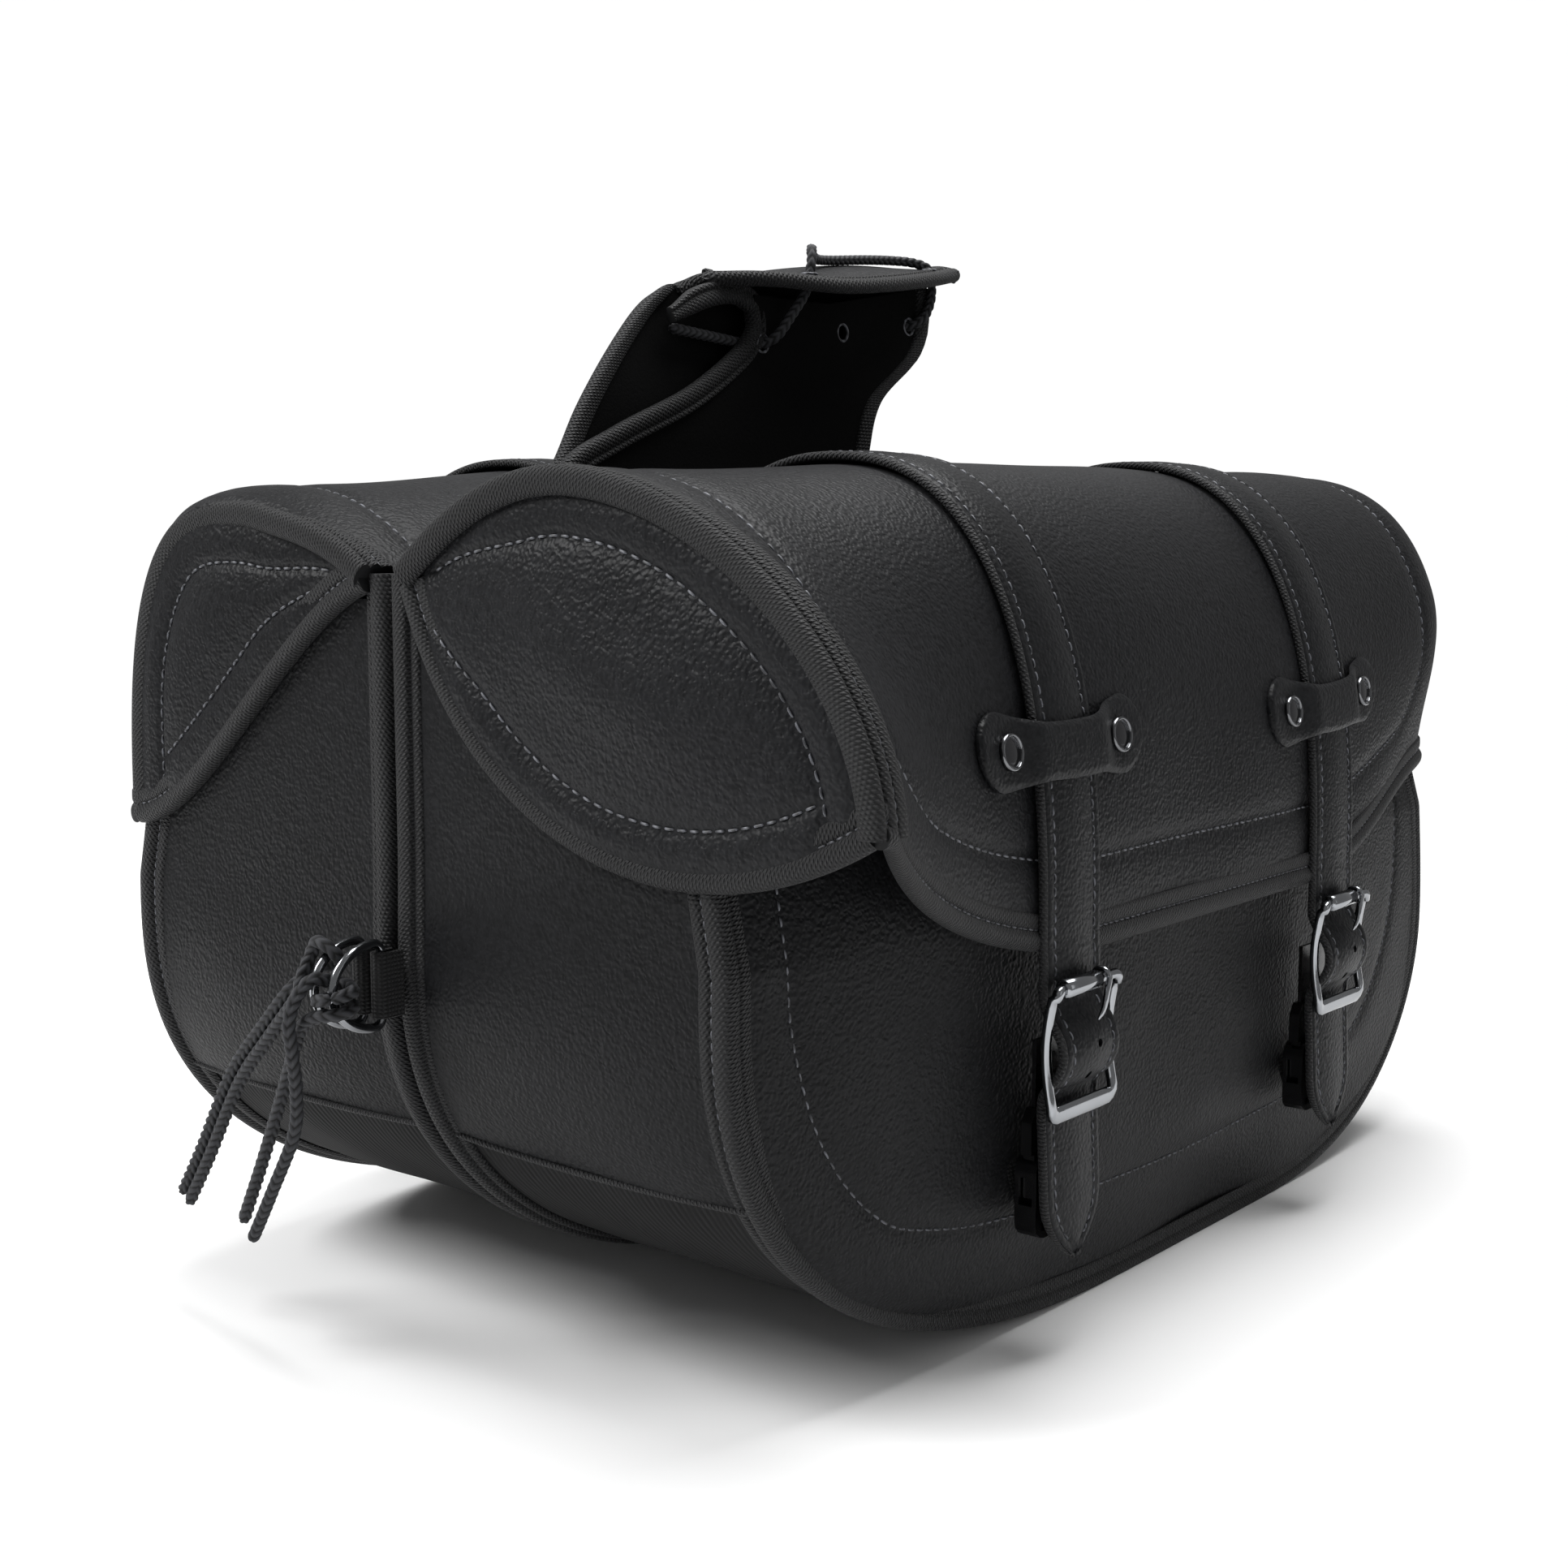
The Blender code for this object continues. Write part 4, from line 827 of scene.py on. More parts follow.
def lid_at(side, y, shares, offset=0.0):
    """Points and outward normals of a lid's outside, for one y and shares of the way from hinge to hem."""
    line = lid_line(side, y)
    along = unit(np.gradient(line, axis=0))
    out = np.stack([-along[:, 1], along[:, 0]], axis=1)
    at = np.asarray(shares, float) * 200
    pick = [np.interp(at, np.arange(201), values) for values in (*line.T, *out.T)]
    normals = np.stack([pick[2], np.zeros_like(at), pick[3]], axis=1)
    points = np.stack([pick[0], np.full_like(at, y), pick[1]], axis=1)
    return points + normals * np.reshape(offset, (-1, 1)), normals


def lid_walk(side, ys, shares, offset):
    """The same for a path over the lid, with a height above it for each point."""
    found = [lid_at(side, y, [share], lift) for y, share, lift in zip(ys, shares, offset)]
    return np.array([p[0] for p, _ in found]), np.array([n[0] for _, n in found])


def lid_stitch_line():
    """A lid's stitch line as (y, height above the hem) points: down one end, along the hem, up the other."""
    end = LID_EDGE_Y - LID_STITCH_INSET
    low, turn = LID_STITCH_INSET, LID_STITCH_CORNER
    line = [(-end, LID_SPAN - 6.0), (-end, low + turn)]
    line += [(-end + turn * (1 - cos(t)), low + turn * (1 - sin(t))) for t in np.linspace(0.15, pi / 2, 10)]
    line += [(-y, d) for y, d in reversed(line)]
    return np.array(line)


# ---------------------------------------------------------------- bag bodies


def build_panels(side, word):
    columns = corner_columns(64)
    rows = np.linspace(0, 1, 80)
    floor = np.array([bottom_of(y) for y in columns])
    y = np.broadcast_to(columns, (len(rows), len(columns)))
    z = floor + rows[:, None] * (FRONT_TOP - floor)
    line = curve_through(PANEL_STITCH, 240)
    rim = body_edge(FRONT_TOP, FRONT_TOP, 160)

    def leather_x(y, z):
        flat = np.stack([y, z], axis=-1)
        away = distance_to(flat, line).reshape(y.shape)
        edge = distance_to(flat, rim).reshape(y.shape)
        soft = seam_dip(away) + 0.9 * smooth(edge / 12.0) + 0.7 * ripple(flat, 120.0, 3)
        return front_face(y, z) + soft - 2.0 * (1 - smooth(edge / 7.0))

    front = np.stack([leather_x(y, z), bowed(y, z), z], axis=-1)
    inner = np.stack([front_face(y, z) - PANEL, bowed(y, z), z], axis=-1)
    shape = sheet(front, inner)
    made = piece(f"front_leather_{word}", shape, LINED, "bags", side, [f"front_panel_{word}"])

    a, b = line.T
    path = np.stack([leather_x(a, b) + 0.35, bowed(a, b), b], axis=1)
    made = stitches(path, np.tile(X_AXIS, (len(path), 1)))
    piece(f"front_stitches_{word}", made, "thread", "bags", side)

    floor_z = np.linspace(0, 1, 30)[:, None]
    z = floor + floor_z * (BACK_TOP - floor)
    y = np.broadcast_to(columns, z.shape)
    dimple = 0.35 * ripple(np.stack([y, z], axis=-1), 90.0, 5)
    back = np.stack([np.full_like(z, BACK_X) + 0.5 + dimple * 0.5, bowed(y, z), z], axis=-1)
    inner = np.stack([np.full_like(z, BACK_X + PANEL), bowed(y, z), z], axis=-1)
    piece(f"back_leather_{word}", sheet(back, inner), LINED, "bags", side, [f"back_panel_{word}"])


def gusset_strip(edge, out, start, end, lift, puff):
    """Part of the wall between the side panels, from one share of its outline to another."""
    count = len(edge)
    picked = slice(int(start * (count - 1)), int(end * (count - 1)) + 1)
    line, normal = edge[picked], out[picked]
    shares = np.linspace(0, 1, 40)
    room = FRONT_X - BACK_X - 2 * PANEL - 0.6 - tuck(line[:, 0], line[:, 1])
    x = BACK_X + PANEL + 0.3 + shares * room[:, None]
    rise = lift + puff(line, shares)
    outer = np.empty((len(line), len(shares), 3))
    inner = np.empty_like(outer)
    for grid, height in ((outer, rise), (inner, np.full_like(rise, -SKIN))):
        grid[:, :, 0] = x
        grid[:, :, 1] = line[:, :1] + normal[:, :1] * height
        grid[:, :, 2] = line[:, 1:] + normal[:, 1:] * height
    return sheet(outer, inner)


def build_gusset(side, word):
    edge = body_edge(GUSSET_TOP, GUSSET_TOP, 420)
    out = outward_of(edge)
    heights = edge[:, 1]
    share = np.arange(len(edge)) / (len(edge) - 1)
    front_seam = share[np.argmax(heights < CANVAS_TOP)]
    rear_seam = share[len(heights) - 1 - np.argmax(heights[::-1] < CANVAS_TOP)]

    def leather_puff(line, shares):
        bow = np.sin(pi * shares)[None, :] ** 0.7
        free = smooth((150.0 - line[:, 1]) / 60.0)[:, None]
        grid = np.stack(np.meshgrid(run_along(line), shares * 130.0, indexing="ij"), axis=-1)
        return (0.3 + 2.2 * bow) * free + 0.8 * free * bow * ripple(grid, 110.0, 11)

    def canvas_puff(line, shares):
        bow = np.sin(pi * shares)[None, :]
        grid = np.stack(np.meshgrid(run_along(line), shares * 130.0, indexing="ij"), axis=-1)
        low = smooth(line[:, 1] / 12.0)[:, None]
        return (0.5 + 0.7 * bow * low) + 0.35 * low * bow * ripple(grid, 60.0, 12) - 0.45

    nodes = [f"gusset_{word}"]
    step = 0.004
    strips = (
        ("gusset_front", 0.0, front_seam + step, 0.5, leather_puff, "body"),
        ("gusset_canvas", front_seam - step, rear_seam + step, -0.7, canvas_puff, "canvas"),
        ("gusset_rear", rear_seam - step, 1.0, 0.5, leather_puff, "body"),
    )
    for name, start, end, lift, puff, look in strips:
        shape = gusset_strip(edge, out, start, end, lift, puff)
        piece(f"{name}_{word}", shape, (look, "lining"), "bags", side, nodes)

    # A corded ridge where the leather is sewn over the canvas
    for name, at in (("front", front_seam + step), ("rear", rear_seam - step)):
        k = int(at * (len(edge) - 1))
        x = np.linspace(BACK_X + PANEL + 1, FRONT_X - PANEL - 1, 50)
        lift = 0.9 + 2.4 * np.sin(pi * np.linspace(0, 1, 50)) ** 0.7 * smooth((150.0 - edge[k, 1]) / 60.0)
        path = np.stack([x, edge[k, 0] + out[k, 0] * lift, edge[k, 1] + out[k, 1] * lift], axis=1)
        up = np.array((0.0, out[k, 0], out[k, 1]))
        across = np.array((0.0, -out[k, 1], out[k, 0]))
        piece(
            f"canvas_ridge_{name}_{word}", ribbon(path, across, up, circle(1.0, 10)), "binding", "bags", side,
        )

    columns = np.linspace(-105, 150, 60)
    x = np.linspace(BACK_X + PANEL + 4, FRONT_X - PANEL - 4, 30)
    grid = np.stack(np.meshgrid(x, columns, indexing="ij") + [np.zeros((30, 60))], axis=-1)
    top = grid + (0.0, 0.0, 16.4)
    top[:, :, 2] += 0.25 * ripple(grid[:, :, :2], 45.0, 21)
    piece(
        f"board_cover_{word}", sheet(top, grid + (0.0, 0.0, 14.0)), ("lining", "lining"), "bags", side,
        [f"base_board_{word}"],
    )


def build_body_bindings(side, word):
    """Woven tape folded over every seam and top edge of a bag's body."""
    for name, x, profile, top in (
        ("front_binding", FRONT_X, FRONT_BINDING, FRONT_TOP),
        ("back_binding", BACK_X, BACK_BINDING, BACK_TOP + 4.0),
    ):
        edge = body_edge(top, top, 380)
        out = outward_of(edge)
        drawn_in = tuck(edge[:, 0], edge[:, 1]) if name == "front_binding" else np.zeros(len(edge))
        path = np.stack([x - drawn_in, edge[:, 0], edge[:, 1]], axis=1)
        up = np.stack([np.zeros(len(edge)), out[:, 0], out[:, 1]], axis=1)
        tape(f"{name}_{word}", path, X_AXIS, up, profile, "bags", side)
        if name == "front_binding":
            groove = path + (-5.6, 0.0, 0.0) + up * 0.75
            panel = path + (1.75, 0.0, 0.0) - up * 5.3
            face = np.tile(X_AXIS, (len(path), 1))
            rows = [stitches(groove, up, 3.4, 2.7, 0.3, 0.0), stitches(panel, face, 3.4, 2.4, 0.34, 0.0)]
            piece(f"front_binding_stitches_{word}", joined(rows), "thread", "bags", side)

    columns = np.linspace(-HALF_LENGTH + 5, HALF_LENGTH - 5, 90)
    path = np.stack([front_face(columns, FRONT_TOP), columns, np.full(90, FRONT_TOP)], axis=1)
    flatter = [(m, n * 0.7 - 0.3) for m, n in THIN_BINDING]
    tape(f"front_top_binding_{word}", path, DOWN, X_AXIS, flatter, "bags", side)
    for name, sign in ENDS:
        x = np.linspace(BACK_X + PANEL + 16, FRONT_X - TUCK - PANEL - 2, 40)
        path = np.stack([x, np.full(40, sign * (HALF_LENGTH - 1.6)), np.full(40, GUSSET_TOP)], axis=1)
        flatter = [(m, n * 0.55 - 0.9) for m, n in THIN_BINDING]
        tape(f"gusset_top_{name}_{word}", path, DOWN, (0.0, float(sign), 0.0), flatter, "bags", side)


# ---------------------------------------------------------------- lids


def build_lid_shell(side, word):
    ys = np.linspace(-LID_EDGE_Y, LID_EDGE_Y, int(2 * LID_EDGE_Y / CELL) + 1)
    shares = np.linspace(0, 1, int(LID_SPAN / CELL) + 1)
    line = lid_stitch_line()
    outer, inner = [], []
    above_hem = (1 - shares) * LID_SPAN

    def softness(flat):
        near_end = (LID_EDGE_Y - np.abs(flat[:, 0])) / 14.0
        soft = seam_dip(distance_to(flat, line)) + 0.7 * ripple(flat, 130.0, 31)
        return soft + 0.9 * smooth(near_end) * smooth(flat[:, 1] / 14.0) - 0.5

    for y in ys:
        flat = np.stack([np.full_like(shares, y), above_hem], axis=1)
        outer.append(lid_at(side, y, shares, softness(flat))[0])
        inner.append(lid_at(side, y, shares, -SKIN)[0])
    shape = sheet(np.swapaxes(outer, 0, 1), np.swapaxes(inner, 0, 1))
    made = piece(f"lid_leather_{word}", shape, ("lid", "lining"), f"lid_{word}", side, [f"lid_shell_{word}"])

    walk = spaced(line, 900)
    path, normals = lid_walk(side, walk[:, 0], 1 - walk[:, 1] / LID_SPAN, softness(walk) + 0.35)
    piece(f"lid_stitches_{word}", stitches(path, normals), "thread", f"lid_{word}", side)

    ys = np.linspace(-LID_EDGE_Y, LID_EDGE_Y, 220)
    found = [lid_at(side, y, [0.985, 1.0]) for y in ys]
    path = np.array([p[1] for p, _ in found])
    inward = unit([p[0] - p[1] for p, _ in found])
    up = np.array([n[1] for _, n in found])
    tape(f"hem_binding_{word}", path, inward, up, HEM_BINDING, f"lid_{word}", side)
    row = stitches(path + inward * 4.6 + up * 0.45, up, *TAPE_STITCH)
    piece(f"hem_stitches_{word}", row, "thread", f"lid_{word}", side)


def cap_curves(side, sign, count=120):
    """An end cap's edges as (x, z) points: along the arc and along the lower edge, both from the hinge."""
    arc = lid_at(side, sign * LID_EDGE_Y, np.linspace(0.006, 1, 200), -SKIN - GAP)[0][:, [0, 2]]
    controls = CAP_SPLAYED_EDGE if splayed(side, sign) else CAP_EDGE
    low = bezier((HINGE[0] + 1.5, HINGE[1] - 3.5), *controls, arc[-1], 200)
    return spaced(arc, count), spaced(low, count)


def inset_curve(line, distance):
    """A stitch line beside an edge, drawn closer to it towards the hinge."""
    along = unit(np.gradient(line, axis=0))
    near_hinge = 0.35 + 0.65 * smooth(run_along(line) / 55.0)
    return line + (distance * near_hinge)[:, None] * np.stack([along[:, 1], -along[:, 0]], axis=1)


def build_cap(side, word, place, sign):
    lid = f"lid_{word}"
    arc, low = cap_curves(side, sign)
    mix = np.linspace(0, 1, 56)[:, None, None]
    flat = low[None] * (1 - mix) + arc[None] * mix
    upper = inset_curve(arc, CAP_STITCH_INSET)
    lower = inset_curve(low, -CAP_STITCH_INSET)
    keep_upper = (distance_to(upper, low) > 3.5) & (run_along(upper) > 9.0)
    gap = distance_to(lower, arc)
    keep_lower = gap > np.minimum(CAP_STITCH_INSET - 1.0, 4.0 + 0.2 * run_along(lower))
    upper_line = upper[keep_upper]
    lower_line = lower[keep_lower]
    points = flat.reshape(-1, 2)
    fullness = 4.0 if splayed(side, sign) else 5.5

    def puffed(points):
        away = np.minimum(distance_to(points, upper_line), distance_to(points, lower_line))
        to_arc, to_low = distance_to(points, arc), distance_to(points, low)
        band = smooth(to_arc / 9.0) * smooth(to_low / 9.0)
        middle = smooth((to_arc - CAP_STITCH_INSET) / 45.0) * smooth((to_low - CAP_STITCH_INSET) / 45.0)
        rise = 1.6 * band + fullness * middle + 1.0 * smooth((to_arc - 4.0) / 25.0)
        return rise + 1.15 * seam_dip(away) + 0.5 * ripple(points, 80.0, 41) * band

    puff = puffed(points).reshape(flat.shape[:2])
    outer = np.stack([flat[..., 0], sign * (CAP_Y + CAP + puff), flat[..., 1]], axis=-1)
    inner = np.stack([flat[..., 0], np.full(flat.shape[:2], sign * CAP_Y), flat[..., 1]], axis=-1)
    made = piece(
        f"cap_leather_{place}_{word}", sheet(outer, inner), ("lid", "lining"), f"lid_{word}", side,
        [f"lid_cap_{place}_{word}"],
    )

    rows = []
    for line in (upper_line, lower_line):
        line = spaced(line, 300)
        path = np.stack([line[:, 0], sign * (CAP_Y + CAP + puffed(line) + 0.4), line[:, 1]], axis=1)
        rows.append(stitches(path, np.tile((0.0, float(sign), 0.0), (300, 1)), sink=0.0))
    piece(f"cap_stitches_{place}_{word}", joined(rows), "thread", f"lid_{word}", side)

    shares = np.linspace(0.0, 1, 200)
    path, normals = lid_at(side, sign * LID_EDGE_Y, shares)
    if not splayed(side, sign):
        path = path - np.array((0.0, sign * 3.0, 0.0)) * smooth((shares - 0.1) / 0.3)[:, None]
    tape(f"arc_binding_{place}_{word}", path, (0.0, -float(sign), 0.0), normals, ARC_BINDING, lid, side)
    row = stitches(path + np.array((0.0, -sign * 5.5, 0.0)) + normals * 0.5, normals, *TAPE_STITCH)
    piece(f"arc_stitches_{place}_{word}", row, "thread", f"lid_{word}", side)

    along = unit(np.gradient(low, axis=0))
    inward = np.stack([-along[:, 1], np.zeros(len(low)), along[:, 0]], axis=1)
    path = np.stack([low[:, 0], np.full(len(low), sign * (CAP_Y + CAP)), low[:, 1]], axis=1)
    up = np.array((0.0, float(sign), 0.0))
    tape(f"cap_binding_{place}_{word}", path, inward, up, HEM_BINDING, lid, side)
    row = stitches(path + inward * 4.6 + up * 0.45, np.tile(up, (len(path), 1)), *TAPE_STITCH)
    piece(f"cap_tape_stitches_{place}_{word}", row, "thread", f"lid_{word}", side)


# ---------------------------------------------------------------- straps and their hardware


def strap_half_width(z):
    left = np.clip((z - STRAP_TIP_Z) / STRAP_POINT, 0.0, 1.0)
    return 1.2 + (STRAP_WIDTH / 2 - 1.2) * (1 - (1 - left) ** 2.2)


def tail_line():
    top = LID_MIDDLE[1] + GAP + STRAP / 2
    turns = [
        (top, LID_MIDDLE[2] - GAP),
        (top, 126.0),
        (top + 0.1, 118.0),
        (top + 2.6, 112.5),
        (top + 6.8, 106.0),
        (top + 7.6, 100.0),
        (top + 5.2, 94.0),
        (top + 0.8, 89.0),
        (top - 0.1, 84.0),
        (top + 0.2, 76.0),
        (top + 1.2, 56.0),
        (top + 2.2, STRAP_TIP_Z),
    ]
    return curve_through(turns, 140)


def strap_path(side, y):
    """Centre line of a whole strap at one y, with its outward normals and half widths."""
    start = np.interp(STRAP_START_X, SECTIONS[LID_MIDDLE][:50, 0], np.arange(50)) / 200
    upper, upper_out = lid_at(side, y, np.linspace(start, 0.995, 110), GAP + STRAP / 2)
    line = tail_line()[2:]
    along = unit(np.gradient(line, axis=0))
    lower = np.stack([line[:, 0], np.full(len(line), y), line[:, 1]], axis=1)
    lower_out = np.stack([-along[:, 1], np.zeros(len(line)), along[:, 0]], axis=1)
    path = np.concatenate([upper, lower])
    out = unit(np.concatenate([upper_out, lower_out]))
    half = strap_half_width(path[:, 2])
    half[: len(upper)] = STRAP_WIDTH / 2
    return path, out, half


def strap_section(half):
    """A strap's section for one half width: rounded edges, and a face drawn in at the stitches."""
    thick = STRAP / 2
    edge = [(half, -0.2), (half - 0.35, -thick + 0.4), (half - 1.1, -thick), (-half + 1.1, -thick)]
    edge += [(-half + 0.35, -thick + 0.4), (-half, -0.2), (-half + 0.25, thick - 0.7), (-half + 1.2, thick)]
    groove = min(4.4, half * 0.6)
    high, deep = thick + 0.15, thick - 0.45
    face = [(-half + groove - 1.5, high), (-half + groove, deep), (-half + groove + 1.6, high)]
    face += [(0.0, thick + 0.5), (half - groove - 1.6, high), (half - groove, deep)]
    face += [(half - groove + 1.5, high), (half - 1.2, thick), (half - 0.25, thick - 0.7)]
    return edge + face


def build_strap(side, word, place, y):
    path, out, half = strap_path(side, y)
    rings = []
    for at, up, wide in zip(path, out, half):
        section = np.array(strap_section(wide))
        rings.append(at + section[:, :1] * Y_AXIS + section[:, 1:] * up)
    rings = np.array(rings)
    sides = rings.shape[1]
    faces = tube_faces(len(rings), sides)
    faces.append(tuple(range(sides)))
    faces.append(tuple(range(len(rings) * sides - 1, (len(rings) - 1) * sides - 1, -1)))
    nodes = [f"strap_upper_{place}_{word}", f"strap_tail_{place}_{word}"]
    strap = piece(f"strap_{place}_{word}", Shape(rings, faces), "strap", None, side, nodes)
    cutters = []
    for k, (across, z) in enumerate(STRAP_HOLES):
        x = np.interp(-z, -tail_line()[:, 1], tail_line()[:, 0])
        line = np.array([(x - 6, y + across, z), (x + 6, y + across, z)])
        shape = ribbon(line, Y_AXIS, Z_AXIS, circle(STRAP_HOLE_RADIUS, 14))
        cutters.append(piece(f"punch_{k}_{place}_{word}", shape, "strap", None, side))
    drill(strap, cutters)
    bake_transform(strap)

    edge_path = path - np.array(Y_AXIS) * (half + 0.35)[:, None] + out * 0.1
    bead = ribbon(edge_path, Y_AXIS, out, circle(1.45, 10), sizes=0.35 + 0.65 * half / half.max())
    edging = piece(f"strap_edging_{place}_{word}", bead, "binding", None, side)
    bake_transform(edging)

    rows = []
    inset = np.minimum(4.4, half * 0.6)
    for sign in (-1, 1):
        line = path + np.array(Y_AXIS) * (sign * (half - inset))[:, None] + out * (STRAP / 2 - 0.15)
        keep = half > 5.0
        rows.append(stitches(line[keep], out[keep], 4.2, 3.0, 0.4, 0.0))
    sewn = piece(f"strap_stitches_{place}_{word}", joined(rows), "thread", None, side)
    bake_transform(sewn)


def drill(made, cutters):
    """Cuts the cutters out of a piece, and removes them."""
    for cutter in cutters:
        cut = made.modifiers.new("Hole", "BOOLEAN")
        cut.object = cutter
        cut.operation = "DIFFERENCE"
        cut.solver = "EXACT"
    settle(made)
    for cutter in cutters:
        bpy.data.objects.remove(cutter, do_unlink=True)


def settle(obj):
    """Applies an object's modifiers."""
    graph = bpy.context.evaluated_depsgraph_get()
    mesh = bpy.data.meshes.new_from_object(obj.evaluated_get(graph))
    mesh.name = obj.name
    obj.modifiers.clear()
    obj.data = mesh
    mesh.shade_smooth()
    mesh.set_sharp_from_angle(angle=radians(50))


def keeper_half_height(reach):
    end = KEEPER_LENGTH / 2 - KEEPER_END_RADIUS
    if reach > end:
        return max((KEEPER_END_RADIUS**2 - (reach - end) ** 2), 0.6) ** 0.5
    return KEEPER_NECK + (KEEPER_END_RADIUS - KEEPER_NECK) * smooth((reach - 12.0) / (end - 8.0))


def keeper_lift(reach):
    return GAP + (STRAP + GAP + 0.3) * (1 - smooth((reach - STRAP_WIDTH / 2) / KEEPER_CLIMB))


def keeper_drop(place, s):
    """How far down the lid a keeper sits at s along it: the sewn-on pieces lean a little."""
    drop, per_mm = KEEPER_LEAN[place]
    return drop + per_mm * s


def build_keeper(side, word, place, y):
    middle = np.interp(-KEEPER_Z, -SECTIONS[LID_MIDDLE][60:, 1], np.arange(60, 201)) / 200
    half = KEEPER_LENGTH / 2
    turn = np.linspace(-1, 1, 75)
    stations = half * np.sin(turn * pi / 2)
    rows = np.linspace(-1, 1, 17)
    over, under = [], []
    for s in stations:
        tall = keeper_half_height(abs(s))
        shares = middle + (rows * tall + keeper_drop(place, s)) / LID_SPAN
        lift = keeper_lift(abs(s))
        edge = 1 - smooth((tall - np.abs(rows) * tall) / 1.6) * smooth((half - abs(s)) / 1.6)
        dome = 0.35 * (1 - rows**2)
        dent = sum(-0.5 * np.exp(-(((s - t) ** 2 + (rows * tall) ** 2) / 60.0)) for t in (-32.0, 32.0))
        over.append(lid_at(side, y + s, shares, lift + KEEPER - 0.9 * edge + dome + dent)[0])
        under.append(lid_at(side, y + s, shares, np.full(17, lift) + 0.5 * edge)[0])
    shape = sheet(over, under)
    node = f"keeper_{place}_{word}"
    piece(f"keeper_strap_{place}_{word}", shape, ("strap", "strap"), f"lid_{word}", side, [node])

    for mark, sign in (("a", -1), ("b", 1)):
        s = sign * RIVET_SPACING / 2
        centre = middle + keeper_drop(place, s) / LID_SPAN
        base = lid_at(side, y + s, [centre], GAP + KEEPER + 0.2)[0][0]
        before = lid_at(side, y + s - 5, [centre - 5 / LID_SPAN, centre + 5 / LID_SPAN])[0]
        after = lid_at(side, y + s + 5, [centre - 5 / LID_SPAN])[0]
        axis = unit(np.cross(before[1] - before[0], after[0] - before[0]))
        build_rivet(f"rivet_{mark}_{place}_{word}", base, axis, f"lid_{word}", side)


def build_rivet(name, base, axis, body, side):
    """A thin rim round a sunken, slightly domed centre."""
    radius = RIVET_RADIUS
    rim = [(radius, -0.2), (radius + 0.2, 0.6), (radius, 1.4), (radius - 0.45, 1.75), (radius - 0.85, 1.6)]
    rim += [(radius - 1.0, 1.1), (radius - 1.1, 0.6)]
    centre = [(radius - 1.5, 0.55), (radius * 0.6, 0.85), (radius * 0.3, 1.0), (0.5, 1.05)]
    profile = rim + centre
    first = unit(np.cross(axis, Y_AXIS))
    second = np.cross(axis, first)
    turns = 2 * pi * np.arange(40) / 40
    spin = np.cos(turns)[:, None] * first + np.sin(turns)[:, None] * second
    points = np.concatenate([base + h * axis + r * spin for r, h in profile])
    faces = [tuple(range(39, -1, -1))]
    faces += tube_faces(len(profile), 40)
    faces.append(tuple(range((len(profile) - 1) * 40, len(profile) * 40)))
    centre_from = 1 + 40 * len(rim)
    marks = [0] * centre_from + [1] * (len(faces) - centre_from)
    looks = ("rivet_rim", "dark_metal")
    piece(f"{name}_cap", Shape(points, faces, None, marks), looks, body, side, [name], 60)


def side_bar(heights):
    low, high = BUCKLE_BOTTOM, BUCKLE_TOP
    return [(BUCKLE_X - 0.8 - BUCKLE_ARCH * sin(pi * (z - low) / (high - low)), z) for z in heights]


